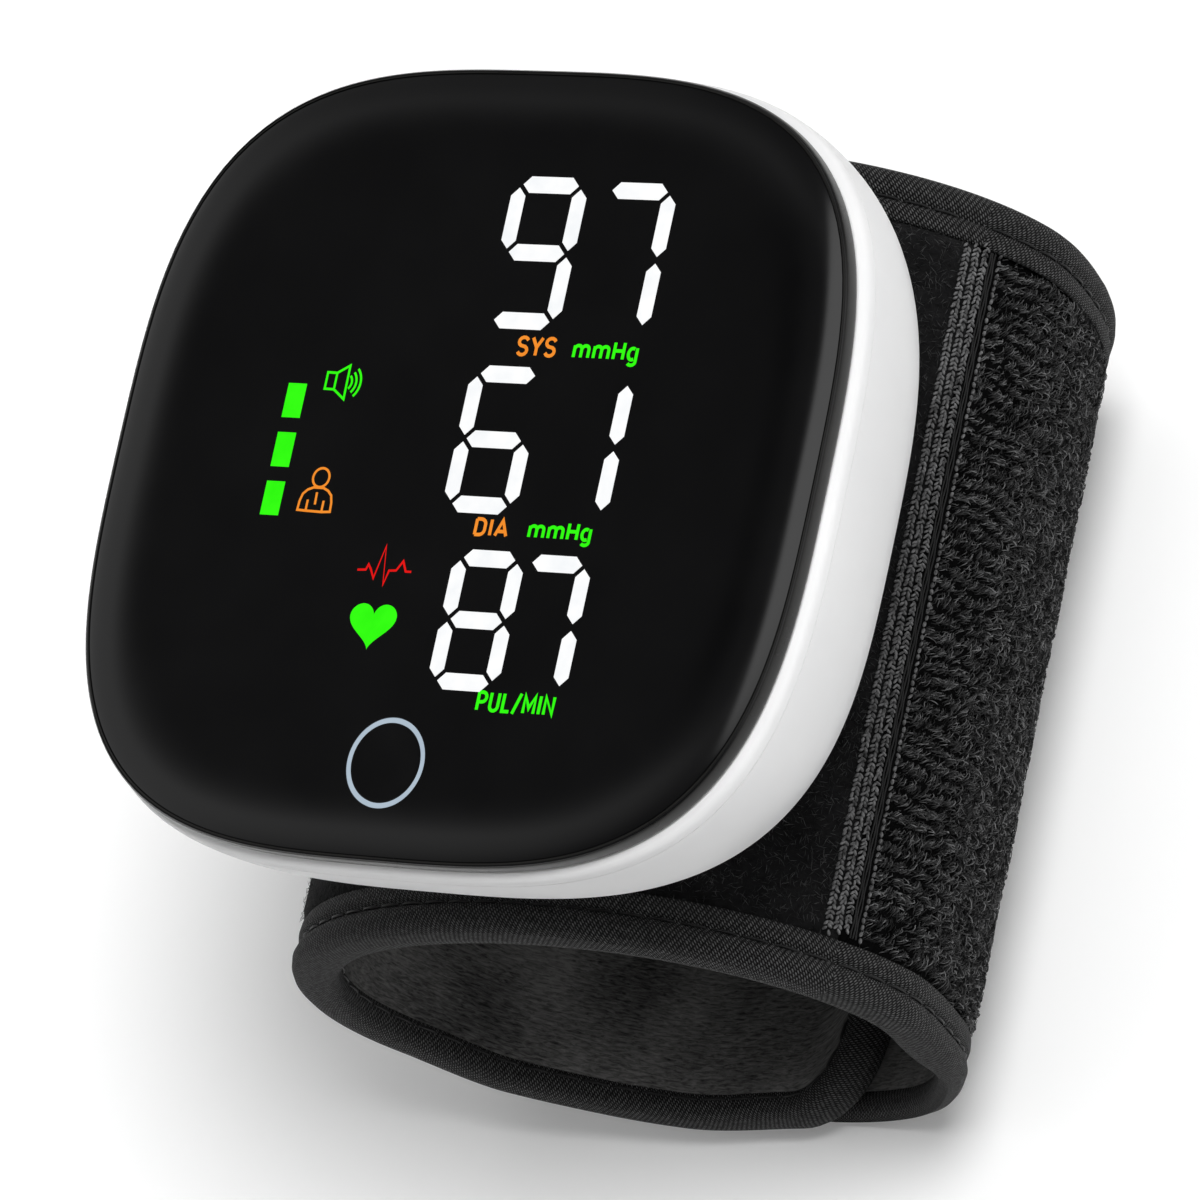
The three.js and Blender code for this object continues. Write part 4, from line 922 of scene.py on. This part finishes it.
liningWrap = piece("lining_wrap", liningWrap, "lining", replaces=["cuff_lining"])
liningFlap = clothSheet(flapQ, lambda q, y: insideDepth(q) - 0.8,
                        lambda q, y: insideDepth(q) + 0.1 - underTape(q, y))
liningFlap = piece("lining_flap", liningFlap, "lining", body=None, replaces=["flap_lining"])

# binding: a folded tape whose edge is a full roll, sewn through along both faces
# inset and depth of its outer leg with the sewn groove, and inset and rise of its inner leg
tape = {"outer": [(5.05, 0.62), (5.0, 0.28), (4.7, 0.14), (4.0, 0.06), (3.5, 0.16), (3.2, 0.5), (3.02, 0.66),
                  (2.86, 0.5), (2.5, 0.12), (1.9, -0.08), (1.2, 0.02), (0.65, 0.34), (0.25, 0.95)],
        "inner": ((0.25, 0.65, 1.3, 2.1, 2.45, 2.8, 3.2, 5.05),
                  (0.95, 0.36, 0.06, 0.03, 0.18, 0.5, 0.62, 0.68)),
        "over": 0.4, "step": 1.0, "cornerRows": 16, "endRows": 24}


def tapeProfile(inside):
    # round the tape: outer leg, full roll, inner leg, then the slot for the plies
    innerLeg = [(p, inside - np.interp(p, *tape["inner"])) for p, _ in tape["outer"][::-1]]
    slot = [(5.0, inside - 0.75), (1.5, inside - 0.8), (1.5, 0.8), (5.0, 0.75)]
    return np.array(tape["outer"] + [(0.0, inside / 2)] + innerLeg + slot)


def outlinePath(end, start):
    # the strap's outline from one side of the start, round the free end, to the other side:
    # place along the strap and the arm, and the way inwards
    sign, corner = (1 if end > start else -1), strap["corner"]
    flat = abs(end) - corner
    q = np.append(np.arange(abs(start) * (1 if start * sign >= 0 else -1), flat, tape["step"]), flat)
    still = np.zeros(len(q))
    turn = np.radians(np.linspace(0, 90, tape["cornerRows"]))[1:]
    qs = sign * np.concatenate([q, flat + corner * np.sin(turn)])
    nq = sign * np.concatenate([still, -np.sin(turn)])
    ny = np.concatenate([still + 1, np.cos(turn)])
    y = -halfWidth(qs) + np.concatenate([still, corner * (1 - np.cos(turn))])
    across = np.linspace(-1, 1, tape["endRows"] + 2)[1:-1] * np.abs(y[-1])
    tip = np.stack(np.broadcast_arrays(float(end), across, float(-sign), 0.0), 1)
    return np.concatenate([np.stack([qs, y, nq, ny], 1), tip, np.stack([qs, -y, nq, -ny], 1)[::-1]])


def runLength(points):
    return np.concatenate([[0], np.cumsum(np.linalg.norm(np.diff(points, axis=0), axis=1))])


def bindingTape(path):
    rings = []
    for (q, y, nq, ny), inside in zip(path, insideDepth(path[:, 0]) + tape["over"]):
        p, d = tapeProfile(inside).T
        rings.append(cuffPoint(q + p * nq, y + p * ny, d))
    rings = np.array(rings)
    profile = tapeProfile(strap["wrapIn"] + tape["over"])
    return sweep(rings, along=runLength(rings[:, len(tape["outer"])]),
                 across=runLength(np.vstack([profile, profile[:1]])), sharp=70)


wrapPath, flapPath = outlinePath(wrapLength, splitAt), outlinePath(-flapLength, splitAt)
bindingWrap = piece("binding_wrap", bindingTape(wrapPath), "tape",
                    replaces=["cuff_binding"])
bindingFlap = piece("binding_flap", bindingTape(flapPath), "tape", body=None,
                    replaces=["flap_binding"])
print("cuff cloth made")


def fibres(name, spine, out, radius, sides, look, taper=1.0, body="monitor"):
    # a thin rod along each row of spine; out is a way roughly square to it
    count, steps = spine.shape[:2]
    way = unit(np.gradient(spine, axis=1))
    side = unit(np.cross(way, out))
    up = np.cross(side, way)
    turn = wholeTurn(sides)[:, None]
    r = (np.broadcast_to(radius, count)[:, None] * np.broadcast_to(taper, steps))[..., None, None]
    rings = spine[:, :, None] + r * (np.cos(turn) * side[:, :, None] + np.sin(turn) * up[:, :, None])
    quads, caps, cornerRow = tubes(count, steps, sides)
    # the map gives each rod a lot of its own, and runs along it
    lot = np.random.default_rng(count).uniform(0, 1, count)[:, None, None]
    uv = np.stack(np.broadcast_arrays(lot, cornerRow[None] / (steps - 1)), -1).reshape(-1, 4, 2)
    return piece(name, makeMesh(rings, quads, caps, uv, sharp=80), look, body=body)


stitch = {"pitch": 2.8, "length": 2.2, "radius": 0.13, "start": 0.6, "arch": 0.12, "dip": 0.14,
          "out": (3.0, 0.46), "in": (2.1, 0.04)}  # inset and depth in each face


def stitchLine(name, path, face, body="monitor"):
    # short threads laid in the sewn groove, each a bent rod that dips at its ends
    q, y, nq, ny = path.T
    inset, deep = stitch[face]
    depth = deep + 0 * q if face == "out" else insideDepth(q) + tape["over"] - deep
    centre = cuffPoint(q + inset * nq, y + inset * ny, depth)
    reach = runLength(centre)
    share = np.linspace(0, 1, 6)
    start = np.arange(stitch["start"], reach[-1] - stitch["length"], stitch["pitch"])
    at = start[:, None] + stitch["length"] * share
    spine = np.stack([np.interp(at, reach, centre[:, k]) for k in range(3)], -1)
    out = unit((spine - [0, 0, oval["axisZ"]]) * [1, 0, 1]) * (1 if face == "out" else -1)
    bow = stitch["arch"] * np.sin(math.pi * share) - stitch["dip"] * (np.abs(share - 0.5) > 0.45)
    spine = spine + out * bow[:, None]
    return fibres(name, spine, out, stitch["radius"], 6, "thread", body=body)


stitchLine("stitches_wrap_out", wrapPath, "out")
stitchLine("stitches_wrap_in", wrapPath, "in")
stitchLine("stitches_flap_out", flapPath, "out", body=None)


def clothFrame(q, y, depth):
    # point, way along the strap, way along the arm, and way out of the cloth
    p = cuffPoint(q, y, depth)
    along = unit(cuffPoint(q + 0.2, y, depth) - cuffPoint(q - 0.2, y, depth))
    arm = np.broadcast_to([0.0, 1.0, 0.0], p.shape)
    out = np.cross(arm, along)
    out *= np.sign((out * (p - [0, 0, oval["axisZ"]]) * [1, 0, 1]).sum(-1, keepdims=True))
    return p, along, arm, out


def turnedIn(angle, arm, along):
    # the arm's way and the strap's way, turned in the cloth
    c, s = np.cos(angle)[:, None], np.sin(angle)[:, None]
    return c * arm + s * along, c * along - s * arm


def laid(p, *terms):
    # a line from each point: each term is a size for each line, a shape along it and a way
    return p[:, None] + sum((size[:, None] * shape)[..., None] * way[:, None] for size, shape, way in terms)


def loopPile(name, qFrom, qTo, dense):
    # leaning curls in loose rows, thinned in clumps, each part of a sine along a way that wanders
    half = pile["half"]
    count = int((qTo - qFrom) * 2 * half * dense)
    q, y = rng.uniform(qFrom, qTo, count), rng.uniform(-half, half, count)
    y = (pile["row"] * np.round(y / pile["row"]) + rng.normal(0, pile["scatter"], count)
         + 0.3 * np.sin(q * 0.7 + y * 0.35))
    full = wave(q, y, pile["clump"], 33) + rng.normal(0, pile["uneven"], count) > pile["bare"]
    keep = (fromEdge(q, y) > pile["edge"]) & full
    q, y = q[keep], y[keep]
    n = len(q)
    p, along, arm, out = clothFrame(q, y, loopOut(q, y) + 0.1)
    wild = smooth(*pile["wild"], q)  # short near the selvedge, longer and looser away from it
    loose = rng.normal(0, 1, n) * (pile["loose"] + pile["loose"] * wild)
    lean = np.radians(pile["lean"] + pile["wander"] * wave(q, y, pile["patch"], 21) + loose)
    flat, side = turnedIn(lean, arm, along)
    tall = rng.uniform(*pile["tall"], n) * (0.7 + 0.4 * wild)
    long = rng.uniform(*pile["long"], n) * (0.55 + 0.5 * wild)
    bent = rng.normal(0, pile["bent"], n) * (0.6 + wild)
    s = np.linspace(0, 1, 5)
    spine = laid(p, (long, s - 0.3, flat), (tall, np.sin(math.pi * s * 0.8), out),
                 (bent, np.sin(2 * math.pi * s), side))
    spine[..., 2] = np.maximum(spine[..., 2], 0.1)
    fibres(name, spine, out[:, None], rng.uniform(*pile["thick"], n), 3, "loopYarn", body=None)


# from and to along the strap, and curls for each square millimetre before they are thinned
pileZones = [(12.0, splitAt - 2.3, 14.0), (4.0, 12.0, 14.0), (-4.0, 4.0, 14.0), (-13.0, -4.0, 11.0),
             (-flapLength + 5, -13.0, 2.6)]
for k, zone in enumerate(pileZones):
    loopPile(f"loop_curls_{k + 1}", *zone)
print("loop pile made")

# selvedge: chains of knitted stitches along the arm, then threads and a row of dots at the loop side
chains = {"at": (1.72, 0.68, -0.3), "wide": (1.02, 1.0, 0.86), "stitch": 0.46, "half": 32.6, "lean": 36,
          "threads": (-0.95, -1.22, -1.5), "dots": -2.0, "dotPitch": 0.62, "lift": 0.12, "rows": 7,
          "sides": 8, "bead": (0.29, 0.14, 0.2), "dot": (0.27, 0.13, 0.25)}


def beads(q, y, size, lean):
    # a rounded knot at each place: an ellipsoid, its long axis turned by lean from the arm's way
    p, along, arm, out = clothFrame(q, y, np.full(len(y), -chains["lift"]))
    ahead, side = turnedIn(-np.radians(lean), arm, along)
    u, v = np.meshgrid(np.linspace(0.1, math.pi - 0.1, chains["rows"]), wholeTurn(chains["sides"]),
                       indexing="ij")
    knot = (np.cos(u) * size[0], np.sin(u) * np.cos(v) * size[1], np.sin(u) * np.sin(v) * size[2])
    return p[:, None, None] + sum(k[..., None] * way[:, None, None]
                                  for k, way in zip(knot, (ahead, side, out)))


def knitSelvedge():
    parts, (long, broad, tall) = [], chains["bead"]
    y = np.arange(-chains["half"], chains["half"], chains["stitch"])
    for column, (offset, wide) in enumerate(zip(chains["at"], chains["wide"])):
        for hand in (-1, 1):
            q = splitAt + offset + hand * wide * 0.2 + rng.normal(0, 0.04, len(y))
            shift = 0.3 * column + 0.15 * hand + rng.normal(0, 0.06, len(y))
            lean = chains["lean"] * hand + rng.normal(0, 14, len(y))
            parts.append(beads(q, y + shift, (long, wide * broad, tall), lean))
    dots = np.arange(-chains["half"], chains["half"], chains["dotPitch"])
    q = splitAt + chains["dots"] + rng.normal(0, 0.04, len(dots))
    parts.append(beads(q, dots, chains["dot"], rng.normal(0, 12, len(dots))))
    points = np.concatenate(parts)
    quads, caps, _ = tubes(len(points), chains["rows"], chains["sides"])
    return makeMesh(points, quads, caps, sharp=80)


threadY = np.linspace(-chains["half"], chains["half"], 90)
threadWave = 0.05 * np.sin(threadY * 2.1 + np.array([[0], [2], [4]]))
threadQ = splitAt + np.array(chains["threads"])[:, None] + threadWave
threadAt, _, _, threadOut = clothFrame(threadQ, threadY + 0 * threadQ, np.full(threadQ.shape, -0.03))
fibres("selvedge_threads", threadAt, threadOut, 0.09, 5, "thread")
piece("selvedge_knit", knitSelvedge(), "knit", replaces=["loop_selvedge"])

hairs = {"long": (0.3, 0.9), "tall": (0.05, 0.35), "bent": 0.12, "radius": 0.024, "taper": (1, 0.9, 0.7, 0.3)}


def velvetHairs(name, qFrom, qTo, count):
    # short bent hairs, mostly lying, each tapered to a point
    q, y = rng.uniform(qFrom, qTo, count), rng.uniform(-pile["half"], pile["half"], count)
    p, along, arm, out = clothFrame(q, y, velvetOut(q, y) + 0.03)
    flat, side = turnedIn(rng.uniform(0, 2 * math.pi, count), arm, along)
    long, tall = rng.uniform(*hairs["long"], count), rng.uniform(*hairs["tall"], count)
    bent = rng.normal(0, hairs["bent"], count)
    s = np.linspace(0, 1, 4)
    spine = laid(p, (long, s, flat), (bent, s ** 2, side), (tall, s ** 0.7, out))
    fibres(name, spine, out[:, None], hairs["radius"], 3, "hair", taper=hairs["taper"])


velvetHairs("velvet_hairs_side", splitAt + 2.0, splitAt + 20, 9000)
velvetHairs("velvet_hairs_far", splitAt + 20, wrapLength * 0.72, 7000)
print("cuff trim made")

# hook patch on the flap's inside: a backing with rows of bent hooks
hook = {"wide": 40.0, "long": 26.0, "endInset": 7.0, "out": 2.5, "thick": 0.35, "pitch": 1.3,
        "edge": (1, 0.8), "tall": 0.42, "reach": 0.34, "radius": 0.07}
hookFrom, hookHalf = -flapLength + hook["endInset"], hook["wide"] / 2
hookTo, hookDeep = hookFrom + hook["long"], hook["out"] + hook["thick"]
qq, yy = np.meshgrid(np.linspace(hookFrom, hookTo, 28), np.linspace(-hookHalf, hookHalf, 20), indexing="ij")
outer, inner = (cuffPoint(qq, yy, np.full_like(qq, d)) for d in (hook["out"], hookDeep))
piece("hook_backing", sweep(np.concatenate([outer, inner[:, ::-1]], 1), sharp=50), "hooks",
      body="flap", replaces=["flap_hook_patch"])
first, last = hook["edge"]
hookQ, hookY = (a.ravel() for a in np.meshgrid(np.arange(hookFrom + first, hookTo - last, hook["pitch"]),
                                               np.arange(-hookHalf + first, hookHalf - last, hook["pitch"]),
                                               indexing="ij"))
p, along, arm, out = clothFrame(hookQ, hookY, np.full(len(hookQ), hookDeep))
s, one = np.linspace(0, 1, 6), np.ones(len(p))
rise, reach = hook["tall"] * np.sin(math.pi * 0.62 * s), hook["reach"] * (1 - np.cos(math.pi * 0.8 * s)) / 1.8
fibres("hook_rows", laid(p, (one, -rise, out), (one, reach, along)), arm[:, None], hook["radius"], 4, "hooks",
       body="flap")

# CAD pieces that stay
kept = {"board": ["main_board"], "brass": ["pump_shaft", "valve_plunger"],
        "silicone": ["valve_hose", "air_tee"], "foil": ["battery_cell"],
        "film": ["cuff_stiffener", "cuff_bladder"],
        "moulding": ["display_module", "tact_switch", "controller_chip", "sounder", "pressure_sensor",
                     "pump_head"],
        "steel": ["charging_socket", "pump_motor", "valve_body", "anchor_screw_1", "anchor_screw_2",
                  *(f"case_screw_{k}" for k in range(1, 5))]}
for look, names in kept.items():
    for name in names:
        nodes[name].data.materials.clear()
        nodes[name].data.materials.append(looks[look])
print("inner pieces finished")
